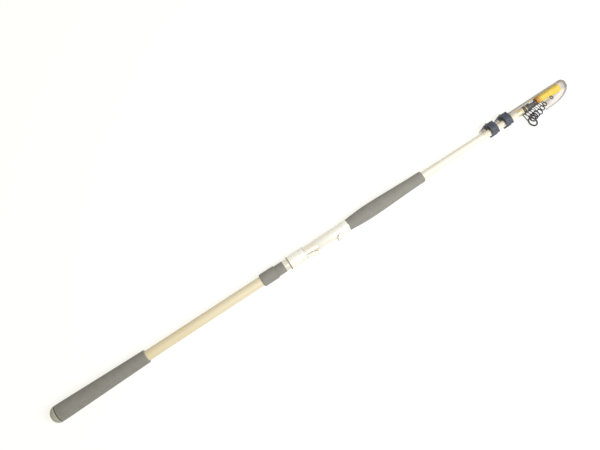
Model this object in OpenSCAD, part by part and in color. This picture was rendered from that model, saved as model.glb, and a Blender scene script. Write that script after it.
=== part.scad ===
// Telescopic fishing rod, collapsed, lying on a surface.
// Lengths are measured along the rod from the butt end. The reel and the guides face -Y.

/* [Butt end] */
// Length of the rubber butt cap
cap_l = 14.2; // [10:0.2:30]
// Diameter of the butt cap
cap_d = 33; // [28:0.5:40]
// Straight rim of the cap ahead of its domed end
cap_rim_l = 0.8; // [0.5:0.1:6]
// Thickness of the dark trim ring ahead of the cap
trim_ring_l = 1.5; // [1:0.1:3]
// Diameter of the trim ring
trim_ring_d = 32.6; // [24:0.2:33]
// Diameter of the threaded stem of the butt plug
plug_d = 14.2; // [10:0.2:15]
// Length of the plug's stem inside the blank
plug_stem_l = 22; // [15:1:40]
// Diameter of the plug's head inside the cap
plug_head_d = 26; // [20:0.5:28]
// Depth of the plug's head inside the cap
plug_head_l = 6.4; // [4:0.2:7]
// Thickness of the soft disc on the plug
cushion_t = 4; // [2:0.5:8]
// Length of the thread insert in the blank
insert_l = 30; // [20:1:45]
// Thread pitch of the butt plug
plug_pitch = 2.5; // [1.5:0.1:3]

/* [Rear grip] */
// Length of the rear grip
rear_grip_l = 187; // [120:1:260]
// Diameter of the rear grip at the butt
rear_grip_butt_d = 33; // [26:0.5:40]
// Straight part of the rear grip at the butt
rear_grip_straight_l = 12; // [10:1:30]
// Diameter of the rear grip at its middle
rear_grip_mid_d = 29.4; // [25:0.1:34]
// Diameter of the rear grip at its front end
rear_grip_front_d = 26; // [24:0.5:32]
// Rounding of the grip ends
grip_round = 2.6; // [1:0.2:2.8]

/* [Butt blank] */
// Bare blank between the rear grip and the reel seat trim
lower_blank_l = 251; // [100:0.5:400]
// Bare blank between the front grip and the mouth
upper_blank_l = 232; // [180:1:350]
// Outside diameter of the blank at the butt
blank_butt_d = 20.2; // [19:0.1:21]
// Outside diameter of the blank at the reel seat trim
blank_seat_d = 19.2; // [17:0.1:19.2]
// Outside diameter of the blank at its mouth
blank_mouth_d = 13.4; // [12.4:0.1:14]
// Wall of the butt blank
blank_wall = 1.3; // [0.9:0.1:1.6]
// Length of the pale ferrule at the mouth
ferrule_l = 9; // [4:0.5:20]
// Wall of the ferrule
ferrule_t = 0.45; // [0.3:0.05:0.6]

/* [Reel seat] */
// Length of the grey barrel behind the seat
trim_barrel_l = 32; // [20:0.5:50]
// Diameter of the grey barrel
trim_barrel_d = 25.5; // [23.5:0.5:30]
// Length of the grey neck ahead of the barrel
trim_neck_l = 18; // [10:0.5:30]
// Diameter of the grey neck
trim_neck_d = 22; // [21:0.2:23]
// Length of the seat pipe
pipe_l = 142.5; // [132:0.5:180]
// Outside diameter of the pipe under the thread
pipe_d = 21.6; // [21.2:0.1:22]
// Bore of the pipe
pipe_bore = 19.8; // [19.6:0.1:20]
// Outside diameter of the thread and of the smooth front part
thread_d = 22.4; // [22.2:0.1:22.8]
// Length of the threaded part
thread_l = 73; // [66:0.5:80]
// Pitch of the seat thread
thread_pitch = 2.5; // [2:0.1:3]
// Distance of the flat for the reel foot from the rod's axis
deck_y = 10.4; // [10.2:0.05:10.6]
// Length of the arbors under the pipe
arbor_l = 20; // [10:1:35]
// Thread that shows behind the nut
nut_x = 9.9; // [9.9:0.1:12]
// Length of the lock nut
nut_l = 24.8; // [18:0.2:28]
// Largest diameter of the lock nut
nut_d = 26; // [25.4:0.2:29]
// Thickness of the dark ring behind the nut
nut_ring_l = 1.5; // [1:0.1:2.5]
// Length of the moving hood's ring
hood_ring_l = 10; // [6:0.5:14]
// Length of the sleeve that the nut holds the hood by
hood_sleeve_l = 6; // [3:0.5:9]
// Length of the moving hood's lip
hood_lip_l = 23.3; // [16:0.1:24]
// Wall of the hoods at the lip
hood_wall = 1.3; // [1:0.1:1.8]
// Reach of the hood lips from the rod's axis
hood_reach = 17.8; // [17:0.1:19]
// Distance of the fixed hood's mouth from the end of the pipe
fixed_hood_l = 29.5; // [24:0.5:36]
// Length of the fixed hood's lip
fixed_lip_l = 17; // [15:0.5:20]
// Diameter of the fixed hood round the pipe
fixed_hood_d = 23.8; // [23.4:0.1:25]

/* [Front grip] */
// Length of the front grip
front_grip_l = 172; // [120:1:240]
// Diameter of the front grip at the seat
front_grip_rear_d = 22.4; // [21:0.2:25]
// Largest diameter of the front grip
front_grip_max_d = 28; // [25:0.5:34]
// Distance of the largest diameter from the seat
front_grip_max_x = 49; // [30:1:80]
// Diameter of the front grip before its rounded end
front_grip_front_d = 22.4; // [21:0.2:25]

/* [Inner sections] */
// Outside diameter of the second section at its top
second_top_d = 9; // [8.6:0.1:9.6]
// Wall of the second section
second_wall = 1; // [0.8:0.05:1.2]
// Outside diameter of the third section at its top
third_top_d = 5.4; // [5:0.1:5.8]
// Wall of the third section
third_wall = 0.8; // [0.6:0.05:0.9]
// Diameter of the tip section at its end
tip_end_d = 1.8; // [1.4:0.1:2.2]
// Length of the tip beyond the third section
tip_out_l = 46; // [42:0.5:52]
// Clearance between a section's foot and the mouth it draws into
nest_gap = 0.15; // [0.1:0.01:0.2]

/* [Guides] */
// Forward lean of the guides in degrees
guide_lean = 14; // [10:1:22]
// Turn of the guide rings about their legs in degrees
guide_turn = 18; // [0:1:20]
// Reach of the stripper guide from the rod's axis
stripper_reach = 38.8; // [34:0.2:44]
// Outside diameter of the stripper guide's ring
stripper_od = 21.2; // [16:0.2:24]
// Length of the stripper guide's collar
stripper_collar_l = 4.4; // [4:0.2:12]
// Outside diameter of the stripper guide's collar
stripper_collar_d = 13.8; // [12:0.2:14]
// Reach of the first guide on the third section
third_reach = 30.4; // [28:0.2:34]
// Reach lost from one guide to the next on the third section
third_reach_step = 1.8; // [1:0.1:2.4]
// Ring diameter of the first guide on the third section
third_od = 16.4; // [12:0.2:17]
// Ring diameter lost from one guide to the next on the third section
third_od_step = 1; // [0.4:0.1:1.2]
// Reach of the first guide on the tip section
tip_reach = 26; // [24:0.2:28]
// Reach lost from one guide to the next on the tip section
tip_reach_step = 4.4; // [3:0.1:4.6]
// Ring diameter of the first guide on the tip section
tip_od = 12.6; // [11:0.2:13]
// Ring diameter lost from one guide to the next on the tip section
tip_od_step = 1.4; // [1:0.1:1.6]
// Reach of the tip top's ring
tip_top_reach = 12.7; // [11:0.1:14]
// Ring diameter of the tip top
tip_top_od = 7.4; // [6.4:0.2:7.8]
// Length of the tip top's tube
tip_top_l = 14; // [8:0.5:18]
// Wall of the tip top's tube
tip_top_t = 0.9; // [0.6:0.1:1.3]
// Length of the collars on the third section
third_collar_l = 5.4; // [4:0.2:7]
// Wall of the collars on the third section
third_collar_t = 3.7; // [2:0.1:3.8]
// Length of the collars on the tip section
tip_collar_l = 8; // [5:0.5:9]
// Wall of the collars on the tip section
tip_collar_t = 3; // [1.6:0.1:3.2]
// Spacing of the sliding guides on the tip section
tip_float_pitch = 9.4; // [9.2:0.1:10]
// Thickness of the ring frames along the line
ring_t = 2; // [1.4:0.1:2.2]
// Diameter of the stripper guide's legs
stripper_leg_d = 2; // [1.4:0.1:2.4]
// Diameter of the small guides' legs
leg_d = 1.4; // [1:0.1:1.6]
// Diameter of the legs' feet, which lie along the collars
foot_d = 2.2; // [1.8:0.1:2.4]

/* [Tip cover] */
// Length of the clear cover
cover_l = 197; // [185:1:215]
// Overlap of the cover on the butt blank
cover_overlap = 89; // [80:1:95]
// Outside diameter of the cover
cover_d = 20.6; // [20.2:0.1:22]
// Wall of the cover
cover_wall = 1.3; // [1:0.1:1.4]
// Rise of the cover's axis over the rod's axis, away from the guides
cover_rise = 2.2; // [1.8:0.1:2.4]
// Height of the cover's open edges below the rod's axis
cover_edge = 4; // [2:0.5:4.5]
// Depth of the bulge over the tip guides, from the cover's axis
fin_depth = 26; // [25:0.5:29]
// Width of the bulge
fin_w = 17.6; // [16.4:0.2:18.4]
// Distance of the bulge's rear edge from the mouth of the blank
fin_x = 44.5; // [42.5:0.5:46]
// Length of the bulge's straight bottom
fin_flat_l = 16; // [10:1:38]
// Width of each strap
strap_w = 15.6; // [12:0.2:18]
// Distance of the first strap from the cover's rear end
strap_x = 15.2; // [14:0.1:21]
// Distance from one strap to the next
strap_pitch = 32.9; // [31.5:0.1:36]
// Thickness of the straps
strap_t = 2.8; // [1.6:0.1:3.2]
// Height of the strap's back block from the cover's axis
strap_back = 14.6; // [14:0.1:16]
// Width of the strap's back block
strap_block_w = 11; // [8:0.5:13]
// Length of the back block behind the strap
strap_lead = 3; // [2.6:0.1:6]
// Half of the straps' opening on the guide side
strap_gap = 6.6; // [6.4:0.1:7.2]
// Length of the strap's tail
strap_tail_l = 12.6; // [8:0.2:14]
// Distance of each rivet from the rear edge of its strap
rivet_x = 3.7; // [2:0.1:6]
// Diameter of the rivets' shanks
rivet_d = 2.4; // [1.8:0.1:3]
// Diameter of the rivets' heads
rivet_head_d = 5; // [4:0.2:6.5]
// Height of the rivets' heads
rivet_head_h = 2.6; // [1.5:0.1:3.2]
// Distance of the foam sleeve from the mouth of the blank
foam_x = 36.5; // [35:0.5:40]
// Length of the foam sleeve
foam_l = 54.5; // [40:0.5:56]
// Length of the sleeve's level edges, before they come down to the front end
foam_level_l = 33.8; // [24:0.2:38]
// Diameter of the foam sleeve
foam_d = 18.2; // [17:0.2:18.6]
// Width of the slot in the foam sleeve
foam_slot = 10; // [9.8:0.1:10.6]
// Height of the foam sleeve's open edges below the rod's axis
foam_edge = 5.6; // [4:0.2:6.4]
// Height of those edges at the sleeve's front end
foam_front_edge = 8.4; // [6.6:0.2:8.8]

/* [Clearances] */
// Bonded fit between pieces of one body
glue = 0.05; // [0.03:0.01:0.08]
// Running fit of the nut, the hood and the plug
run_fit = 0.1; // [0.06:0.01:0.14]
// Gap between faces that only meet when the rod is closed
face_gap = 0.3; // [0.2:0.05:0.5]
// Gap round pieces that slide past each other loosely
slide_gap = 0.35; // [0.25:0.05:0.45]

/* [Hidden] */
round_fn = 96;
small_fn = 48;
// Overrun of a cut past the face that it opens
cut = 1;
// Depth that a piece is cut from before its bore is cut to size
bore_stock = 2;

// Colours of the real pieces
eva_grey = [0.50, 0.50, 0.48];
cap_grey = [0.65, 0.66, 0.61];
champagne = [0.87, 0.82, 0.65];
silver = [0.88, 0.88, 0.87];
near_black = [0.16, 0.16, 0.18];
gunmetal = [0.27, 0.27, 0.29];
ring_black = [0.12, 0.12, 0.13];
pale_gold = [0.85, 0.80, 0.62];
plug_black = [0.20, 0.20, 0.20];
strap_black = [0.18, 0.19, 0.22];
brass = [0.67, 0.60, 0.36];
foam_yellow = [1.00, 0.80, 0.25];
clear = [0.80, 0.80, 0.76, 0.35];

// Places along the rod, from the butt end
ring_x = cap_l;
grip_x = ring_x + trim_ring_l + run_fit;
grip_end_x = grip_x + rear_grip_l;
trim_x = grip_end_x + lower_blank_l;
neck_x = trim_x + trim_barrel_l;
pipe_x = neck_x + trim_neck_l;
pipe_end_x = pipe_x + pipe_l;
front_end_x = pipe_end_x + front_grip_l;
mouth_x = front_end_x + upper_blank_l;
plug_end_x = grip_x + plug_stem_l;
foot_x = plug_end_x + cushion_t + face_gap;
nut_ring_x = pipe_x + nut_x;
nut_start_x = nut_ring_x + nut_ring_l;
hood_x = nut_start_x + nut_l + run_fit;
hood_end_x = hood_x + hood_ring_l;
fixed_mouth_x = pipe_end_x - fixed_hood_l;
// Wall of the sleeve that joins the hood to the nut, two fifths of the nut's
hood_sleeve_t = (nut_d - thread_d) / 2 * 0.4;
// Step between the nut and the pieces at its ends
nut_step = 0.1;

// Tops of the inner sections and places of the guides
stripper_x = mouth_x + face_gap;
second_top_x = stripper_x + stripper_collar_l + glue;
third_guide_pitch = third_collar_l + slide_gap;
third_guide_x = [for (i = [0 : 2]) second_top_x + face_gap + i * third_guide_pitch];
third_top_x = third_guide_x[2] + third_collar_l + glue;
tip_guide_x = [for (i = [0 : 2]) third_top_x + face_gap + i * tip_float_pitch];
tip_end_x = third_top_x + tip_out_l;
tip_top_x = tip_end_x - tip_top_l;
// Where the legs of the guides stand on their collars
stripper_leg_x = stripper_x + stripper_collar_l * 0.3;
third_leg_x = [for (x = third_guide_x) x + third_collar_l * 0.45];
tip_leg_x = [for (x = tip_guide_x) x + tip_collar_l * 0.6];
tip_top_leg_x = tip_end_x - leg_d * 1.5;

// Radii of the sections, from the mouth that each one draws into
second_foot_r = blank_mouth_d / 2 - blank_wall - nest_gap;
third_foot_r = second_top_d / 2 - second_wall - nest_gap;
tip_foot_r = third_top_d / 2 - third_wall - nest_gap;

// Cover
cover_x = mouth_x - cover_overlap;
cover_end_x = cover_x + cover_l;
cover_r = cover_d / 2;
cover_in_r = cover_r - cover_wall;
cover_dome_x = cover_end_x - cover_r;
fin_rear_x = mouth_x + fin_x;
// Slant of the bulge's rear edge, and how far its outline ends inside the dome
fin_slant = 3;
fin_end_gap = 0.2;
strap_in_r = cover_r + glue;
strap_r = strap_in_r + strap_t;
strap_1_x = cover_x + strap_x;
rivet_top = cover_rise + strap_back + rivet_head_h;
pad_in_r = blank_r(cover_x) + slide_gap;
// Height of the pads' lower edges below the rod's axis
pad_edge = 1;

// The rod lies with its thickest part on the surface, centred on its own box
total_l = cover_end_x;
axis_z = max(cap_d, rear_grip_butt_d) / 2;
ring_edge = 0.4;
stripper_edge = stripper_reach + (ring_t / 2 - ring_edge) * sin(guide_lean);
side_shift = (stripper_edge - max(rivet_top, axis_z)) / 2;

// How far along its own section a sliding guide spreads when the section is drawn out
third_travel = 950;
tip_travel = 960;
third_spread = [0.6, 0.3];
tip_spread = [0.66, 0.42, 0.2];

function mix(a, b, t) = a + (b - a) * t;
function ease(t) = (1 - cos(180 * t)) / 2;
function blank_r(x) = x < trim_x
    ? mix(blank_butt_d, blank_seat_d, (x - grip_x) / (trim_x - grip_x)) / 2
    : mix(blank_seat_d, blank_mouth_d, (x - trim_x) / (mouth_x - trim_x)) / 2;
function second_r(x) = mix(second_foot_r, second_top_d / 2, (x - foot_x) / (second_top_x - foot_x));
function third_r(x) = mix(third_foot_r, third_top_d / 2, (x - foot_x) / (third_top_x - foot_x));
function tip_r(x) = mix(tip_foot_r, tip_end_d / 2, (x - foot_x) / (tip_end_x - foot_x));
// Bores of the sliding guides: they pass the place where each one comes to rest
third_float_r = [for (i = [0 : 1]) third_r(third_guide_x[i] - third_travel * third_spread[i]) + glue];
tip_float_r = [for (i = [0 : 2]) tip_r(tip_guide_x[i] - tip_travel * tip_spread[i]) + glue];

// Rounded end of a grip at radius r, running out at x with its face to the right
function round_end(r, x, fillet) = [
    for (a = [0 : 15 : 90]) [r - fillet + fillet * cos(a), x - fillet + fillet * sin(a)]
];
// Where a ridge of a thread reaches its crest, leaves it and ends, as shares of the pitch
crest_start = 0.35;
crest_end = 0.6;
ridge_end = 0.95;
// Ridges of a thread from x on, over the core radius
function ridges(x, l, pitch, core_r, crest_r) = [
    for (i = [0 : floor(l / pitch) - 1]) each [
        [core_r, x + pitch * i],
        [crest_r, x + pitch * (i + crest_start)],
        [crest_r, x + pitch * (i + crest_end)],
        [core_r, x + pitch * (i + ridge_end)]
    ]
];

// Puts the rod on its surface
module lay() {
    translate([-total_l / 2, side_shift, axis_z]) children();
}

// A turned piece from points of radius and place along the rod
module turned(points) {
    rotate([0, 90, 0]) rotate_extrude($fn = round_fn) polygon(points);
}

// A tube along the rod
module tube(x, l, r_out, r_in) {
    turned([[r_in, x], [r_out, x], [r_out, x + l], [r_in, x + l]]);
}

// A solid round disc along the rod
module disc(x, l, r) {
    turned([[0, x], [r, x], [r, x + l], [0, x + l]]);
}

// A tube that lies on a tapered section with a bonded fit
module sleeve(x, l, r_out, r_a, r_b) {
    turned([[r_a + glue, x], [r_out, x], [r_out, x + l], [r_b + glue, x + l]]);
}

// A shape drawn across the rod, with its first axis along Y, run along the rod
module across(x, l) {
    translate([x, 0, 0]) rotate([90, 0, 90]) linear_extrude(l) children();
}

// A round bar from p to q
module bar(p, q, d) {
    v = q - p;
    translate(p) rotate([0, acos(v.z / norm(v)), atan2(v.y, v.x)])
        cylinder(d = d, h = norm(v), $fn = small_fn);
}

module butt_cap() {
    r = cap_d / 2;
    dome_l = cap_l - cap_rim_l;
    pocket_x = cap_l - plug_head_l;
    color(cap_grey) lay() turned(concat(
        [for (a = [90 : -9 : 0]) [r * cos(a), dome_l - dome_l * sin(a)]],
        [
            [r, cap_l], [plug_head_d / 2 + glue, cap_l],
            [plug_head_d / 2 + glue, pocket_x], [0, pocket_x]
        ]
    ));
}

module butt_plug() {
    r = plug_d / 2;
    ridge_h = 0.3;
    core_r = r - ridge_h;
    stem_x = grip_x + plug_pitch;
    color(plug_black) lay() turned(concat(
        [
            [0, cap_l - plug_head_l + glue], [plug_head_d / 2, cap_l - plug_head_l + glue],
            [plug_head_d / 2, cap_l], [core_r, cap_l]
        ],
        ridges(stem_x, plug_stem_l - 2 * plug_pitch, plug_pitch, core_r, r),
        [[core_r, plug_end_x], [0, plug_end_x]]
    ));
}

module plug_cushion() {
    color(plug_black) lay() disc(plug_end_x + glue, cushion_t - glue, plug_d / 2 - run_fit);
}

module trim_ring() {
    color(near_black) lay() tube(ring_x + glue, trim_ring_l - glue, trim_ring_d / 2, plug_d / 2 + run_fit);
}

module thread_insert() {
    color(plug_black) lay() turned([
        [plug_d / 2 + run_fit, grip_x],
        [blank_r(grip_x) - blank_wall - glue, grip_x],
        [blank_r(grip_x + insert_l) - blank_wall - glue, grip_x + insert_l],
        [plug_d / 2 + run_fit, grip_x + insert_l]
    ]);
}

module rear_grip() {
    butt_r = rear_grip_butt_d / 2;
    front_r = rear_grip_front_d / 2;
    // The middle diameter pulls the straight taper in
    sag = rear_grip_mid_d / 2 - (butt_r + front_r) / 2;
    taper_x = grip_x + rear_grip_straight_l;
    taper_l = rear_grip_l - rear_grip_straight_l - grip_round * 2;
    steps = 10;
    color(eva_grey) lay() turned(concat(
        [[blank_r(grip_x) + glue, grip_x], [butt_r, grip_x]],
        [
            for (i = [0 : steps])
                let (t = i / steps)
                [mix(butt_r, front_r, t) + sag * 4 * t * (1 - t), taper_x + t * taper_l]
        ],
        round_end(front_r, grip_end_x, grip_round),
        [[blank_r(grip_end_x) + glue, grip_end_x]]
    ));
}

module butt_blank() {
    color(champagne) lay() turned([
        [blank_r(grip_x) - blank_wall, grip_x], [blank_r(grip_x), grip_x],
        [blank_r(trim_x), trim_x], [blank_r(mouth_x), mouth_x],
        [blank_r(mouth_x) - blank_wall, mouth_x], [blank_r(trim_x) - blank_wall, trim_x]
    ]);
}

module seat_trim() {
    r = trim_barrel_d / 2;
    rear_round = 2.4;
    front_round = 1;
    color(eva_grey) lay() turned(concat(
        [[blank_r(trim_x) + glue, trim_x]],
        [
            for (a = [90 : -15 : 0])
                [r - rear_round + rear_round * cos(a), trim_x + rear_round - rear_round * sin(a)]
        ],
        round_end(r, neck_x, front_round),
        [[blank_r(neck_x) + glue, neck_x]]
    ));
}

module seat_collar() {
    color(eva_grey) lay()
        sleeve(neck_x, trim_neck_l, trim_neck_d / 2, blank_r(neck_x), blank_r(pipe_x));
}

module seat_pipe() {
    bore_r = pipe_bore / 2;
    core_r = pipe_d / 2;
    smooth_r = thread_d / 2;
    thread_end_x = pipe_x + thread_l;
    run_out = 0.6;
    color(silver) lay() difference() {
        turned(concat(
            [[bore_r, pipe_x], [core_r, pipe_x]],
            ridges(pipe_x + run_out, thread_l - thread_pitch, thread_pitch, core_r, smooth_r),
            [
                [core_r, thread_end_x], [smooth_r, thread_end_x + run_out],
                [smooth_r, pipe_end_x], [bore_r, pipe_end_x]
            ]
        ));
        // The flat that the reel foot lies on
        translate([pipe_x - cut, -deck_y - smooth_r, -smooth_r])
            cube([pipe_l + 2 * cut, smooth_r, smooth_r * 2]);
    }
}

module seat_arbors() {
    end_gap = 6;
    color(plug_black) lay() for (x = [pipe_x + end_gap, pipe_end_x - end_gap - arbor_l])
        sleeve(x, arbor_l, pipe_bore / 2 - glue, blank_r(x), blank_r(x + arbor_l));
}

module lock_nut() {
    r = nut_d / 2;
    crown = 0.45;
    end_r = r - crown;
    bore_r = thread_d / 2 + run_fit;
    recess_r = bore_r + hood_sleeve_t + run_fit;
    x = nut_start_x + glue;
    end_x = nut_start_x + nut_l;
    steps = 8;
    color(silver) lay() turned(concat(
        [[bore_r, x]],
        [
            for (i = [0 : steps])
                let (t = i / steps)
                [mix(end_r, r, sin(180 * t)), mix(x, end_x, t)]
        ],
        [
            [recess_r, end_x], [recess_r, end_x - hood_sleeve_l - run_fit],
            [bore_r, end_x - hood_sleeve_l - run_fit]
        ]
    ));
}

module nut_ring() {
    color(near_black) lay() tube(nut_ring_x, nut_ring_l, nut_d / 2 + nut_step, thread_d / 2 + run_fit);
}

// The scoop of a hood: a tilted tube that opens towards the reel foot, kept on the reel side only.
// mouth is its open end, and way is 1 where that faces the tip and -1 where it faces the butt.
module hood_scoop(mouth, lip_l, r_out, way, edge_near, edge_far) {
    drop = hood_reach - r_out;
    slope = atan(drop / lip_l);
    root = mouth - way * lip_l;
    bury = 0.5;
    knee = [lip_l * 0.55, -edge_near - 1.2];
    translate([root, 0, 0]) rotate([0, way == 1 ? 0 : 180, 0]) intersection() {
        rotate([0, 0, -slope]) rotate([0, 90, 0]) difference() {
            translate([0, 0, -2 * cut]) cylinder(r = r_out, h = lip_l * 2, $fn = round_fn);
            translate([0, 0, -3 * cut])
                cylinder(r = r_out - hood_wall, h = lip_l * 2 + 2 * cut, $fn = round_fn);
        }
        // The lip's edge runs from near the ring out to the mouth
        translate([0, 0, -r_out * 2]) linear_extrude(r_out * 4) polygon([
            [-bury, -edge_near], knee, [lip_l, -edge_far],
            [lip_l, -hood_reach * 2], [-bury, -hood_reach * 2]
        ]);
    }
}

module moving_hood() {
    bore_r = thread_d / 2 + run_fit;
    stock_r = bore_r - bore_stock;
    ring_r = nut_d / 2 - nut_step;
    sleeve_r = bore_r + hood_sleeve_t;
    lip_r = bore_r + slide_gap + hood_wall;
    bevel = 0.6;
    edge_near = 6.5;
    edge_far = 13;
    color(silver) lay() {
        difference() {
            union() {
                tube(hood_x - hood_sleeve_l, hood_sleeve_l + cut, sleeve_r, stock_r);
                turned([
                    [stock_r, hood_x], [ring_r - bevel, hood_x], [ring_r, hood_x + bevel],
                    [ring_r, hood_end_x - bevel], [ring_r - bevel, hood_end_x], [stock_r, hood_end_x]
                ]);
            }
            // The bore has a flat that keeps the hood from turning on the pipe
            across(hood_x - hood_sleeve_l - cut, hood_sleeve_l + hood_ring_l + 2 * cut) intersection() {
                circle(r = bore_r, $fn = round_fn);
                translate([-deck_y - run_fit, -bore_r * 2]) square(bore_r * 4);
            }
        }
        hood_scoop(hood_end_x + hood_lip_l, hood_lip_l, lip_r, 1, edge_near, edge_far);
    }
}

module fixed_hood() {
    bore_r = thread_d / 2 + glue;
    ring_r = fixed_hood_d / 2;
    lip_r = thread_d / 2 + slide_gap + hood_wall;
    body_x = fixed_mouth_x + fixed_lip_l - cut;
    stock_r = bore_r - bore_stock;
    taper_l = 6;
    front_r = front_grip_rear_d / 2 + face_gap;
    edge_near = 5;
    edge_far = 12;
    color(silver) lay() {
        difference() {
            turned([
                [stock_r, body_x], [ring_r, body_x], [ring_r, pipe_end_x - taper_l],
                [front_r, pipe_end_x - glue], [stock_r, pipe_end_x - glue]
            ]);
            across(body_x - cut, pipe_end_x - body_x + 2 * cut) intersection() {
                circle(r = bore_r, $fn = round_fn);
                translate([-deck_y - glue, -bore_r * 2]) square(bore_r * 4);
            }
        }
        hood_scoop(fixed_mouth_x, fixed_lip_l, lip_r, -1, edge_near, edge_far);
    }
}

module front_grip() {
    rear_r = front_grip_rear_d / 2;
    max_r = front_grip_max_d / 2;
    front_r = front_grip_front_d / 2;
    rise = 8;
    fall = 10;
    fall_l = front_grip_l - front_grip_max_x - grip_round;
    color(eva_grey) lay() turned(concat(
        [[blank_r(pipe_end_x) + glue, pipe_end_x]],
        [
            for (i = [0 : rise])
                [mix(rear_r, max_r, sin(90 * i / rise)), pipe_end_x + front_grip_max_x * i / rise]
        ],
        [
            for (i = [1 : fall - 1])
                [mix(max_r, front_r, ease(i / fall)), pipe_end_x + front_grip_max_x + fall_l * i / fall]
        ],
        round_end(front_r, front_end_x, grip_round),
        [[blank_r(front_end_x) + glue, front_end_x]]
    ));
}

module mouth_ferrule() {
    x = mouth_x - ferrule_l;
    bevel_l = 1;
    color(pale_gold) lay() turned([
        [blank_r(x) + glue, x], [blank_r(x) + ferrule_t / 2, x], [blank_r(x) + ferrule_t, x + bevel_l],
        [blank_r(mouth_x) + ferrule_t, mouth_x], [blank_r(mouth_x) + glue, mouth_x]
    ]);
}

module second_blank() {
    color(champagne) lay() turned([
        [second_r(foot_x) - second_wall, foot_x], [second_r(foot_x), foot_x],
        [second_r(second_top_x), second_top_x], [second_r(second_top_x) - second_wall, second_top_x]
    ]);
}

module third_blank() {
    color(champagne) lay() turned([
        [third_r(foot_x) - third_wall, foot_x], [third_r(foot_x), foot_x],
        [third_r(third_top_x), third_top_x], [third_r(third_top_x) - third_wall, third_top_x]
    ]);
}

module tip_blank() {
    color(champagne) lay() turned([
        [0, foot_x], [tip_r(foot_x), foot_x], [tip_r(tip_end_x), tip_end_x], [0, tip_end_x]
    ]);
}

// Distance of a guide ring's centre from the rod's axis
function ring_y(reach, od) = reach - od / 2 * cos(guide_lean);
// Inner radius of a guide's ring frame, where the hard ring sits, as a share of its diameter
seat_share = 0.41;
function seat_r(od) = od * seat_share;
// Centre of a guide's ring, for a guide whose legs stand at x
function ring_centre(x, reach, od) = [x + ring_y(reach, od) * tan(guide_lean), -ring_y(reach, od), 0];

// Stands a ring's profile in the guide's plane, which leans to the tip and turns about the legs
module ring_place(x, reach, od) {
    translate(ring_centre(x, reach, od)) rotate([0, guide_turn, 0]) rotate([0, 0, guide_lean])
        rotate([0, 90, 0]) children();
}

// A guide frame: a collar round the section, two legs and the ring frame
module guide_frame(x, l, leg_x, collar_r, bore_r, reach, od, leg, foot) {
    spread = 48;
    seat = seat_r(od);
    mid_r = (od / 2 + seat) / 2;
    lean_dir = [sin(guide_lean) * cos(guide_turn), -cos(guide_lean), -sin(guide_lean) * sin(guide_turn)];
    side_dir = [sin(guide_turn), 0, cos(guide_turn)];
    centre = ring_centre(leg_x, reach, od);
    // The legs stand close to the middle of the collar, and never wider than half the ring
    leg_z = min(collar_r * 0.42, mid_r / 2);
    tube(x, l, collar_r, bore_r);
    // Height of the foot's axis over the collar, as a share of its width
    foot_stand = 0.35;
    foot_y = sqrt(pow(collar_r, 2) - pow(leg_z, 2)) + foot * foot_stand;
    if (foot > 0) for (side = [-1, 1])
        bar([x + face_gap, -foot_y, side * leg_z], [x + l - face_gap, -foot_y, side * leg_z], foot);
    ring_place(leg_x, reach, od) rotate_extrude($fn = round_fn) polygon([
        [seat, -ring_t / 2], [od / 2 - ring_edge, -ring_t / 2], [od / 2, -ring_t / 2 + ring_edge],
        [od / 2, ring_t / 2 - ring_edge], [od / 2 - ring_edge, ring_t / 2], [seat, ring_t / 2]
    ]);
    difference() {
        for (side = [-1, 1])
            bar(
                [leg_x, -(collar_r + bore_r) / 2, side * leg_z],
                centre - lean_dir * mid_r * cos(spread) + side_dir * side * mid_r * sin(spread),
                leg
            );
        // Room for the hard ring
        ring_place(leg_x, reach, od) cylinder(r = seat, h = leg * 4, center = true, $fn = round_fn);
    }
}

// The hard ring in a guide frame, with a rounded inside for the line
module guide_ring(leg_x, reach, od) {
    r_out = seat_r(od) - glue;
    // The hard ring is thin beside its frame and a little longer along the line
    wall = od * 0.06;
    half_t = ring_t * 0.6;
    ring_place(leg_x, reach, od) rotate_extrude($fn = round_fn) polygon(concat(
        [[r_out, -half_t]],
        [for (a = [-75 : 25 : 75]) [r_out - wall * cos(a), half_t * sin(a)]],
        [[r_out, half_t]]
    ));
}

module stripper_frame() {
    color(gunmetal) lay() guide_frame(
        stripper_x, stripper_collar_l, stripper_leg_x, stripper_collar_d / 2,
        second_r(stripper_x) + glue, stripper_reach, stripper_od, stripper_leg_d, foot_d
    );
}

module stripper_ring() {
    color(ring_black) lay() guide_ring(stripper_leg_x, stripper_reach, stripper_od);
}

// The three guides of the third section: the first two slide, the last one is bonded at its top
function third_guide_bore(i) = i < 2 ? third_float_r[i] : third_r(third_guide_x[2]) + glue;
third_collar_r = third_guide_bore(0) + third_collar_t;

module third_guide_frame(i) {
    color(gunmetal) lay() guide_frame(
        third_guide_x[i], third_collar_l, third_leg_x[i], third_collar_r, third_guide_bore(i),
        third_reach - i * third_reach_step, third_od - i * third_od_step, leg_d, foot_d
    );
}

module third_guide_ring(i) {
    color(ring_black) lay() guide_ring(
        third_leg_x[i], third_reach - i * third_reach_step, third_od - i * third_od_step
    );
}

// Pale band round the rear end of the second sliding collar, open where the legs' feet lie
module third_guide_band() {
    band_l = 1.3;
    band_t = 0.35;
    band_r = third_collar_r + glue;
    open_w = third_collar_r + foot_d * 1.5;
    color(pale_gold) lay() difference() {
        tube(third_guide_x[1], band_l, band_r + band_t, band_r);
        translate([third_guide_x[1] - cut, -band_r * 2, -open_w / 2]) cube([band_l + cut * 2, band_r * 2, open_w]);
    }
}

// The three guides of the tip section all slide
module tip_guide_frame(i) {
    color(gunmetal) lay() guide_frame(
        tip_guide_x[i], tip_collar_l, tip_leg_x[i], tip_float_r[i] + tip_collar_t, tip_float_r[i],
        tip_reach - i * tip_reach_step, tip_od - i * tip_od_step, leg_d, foot_d
    );
}

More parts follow.
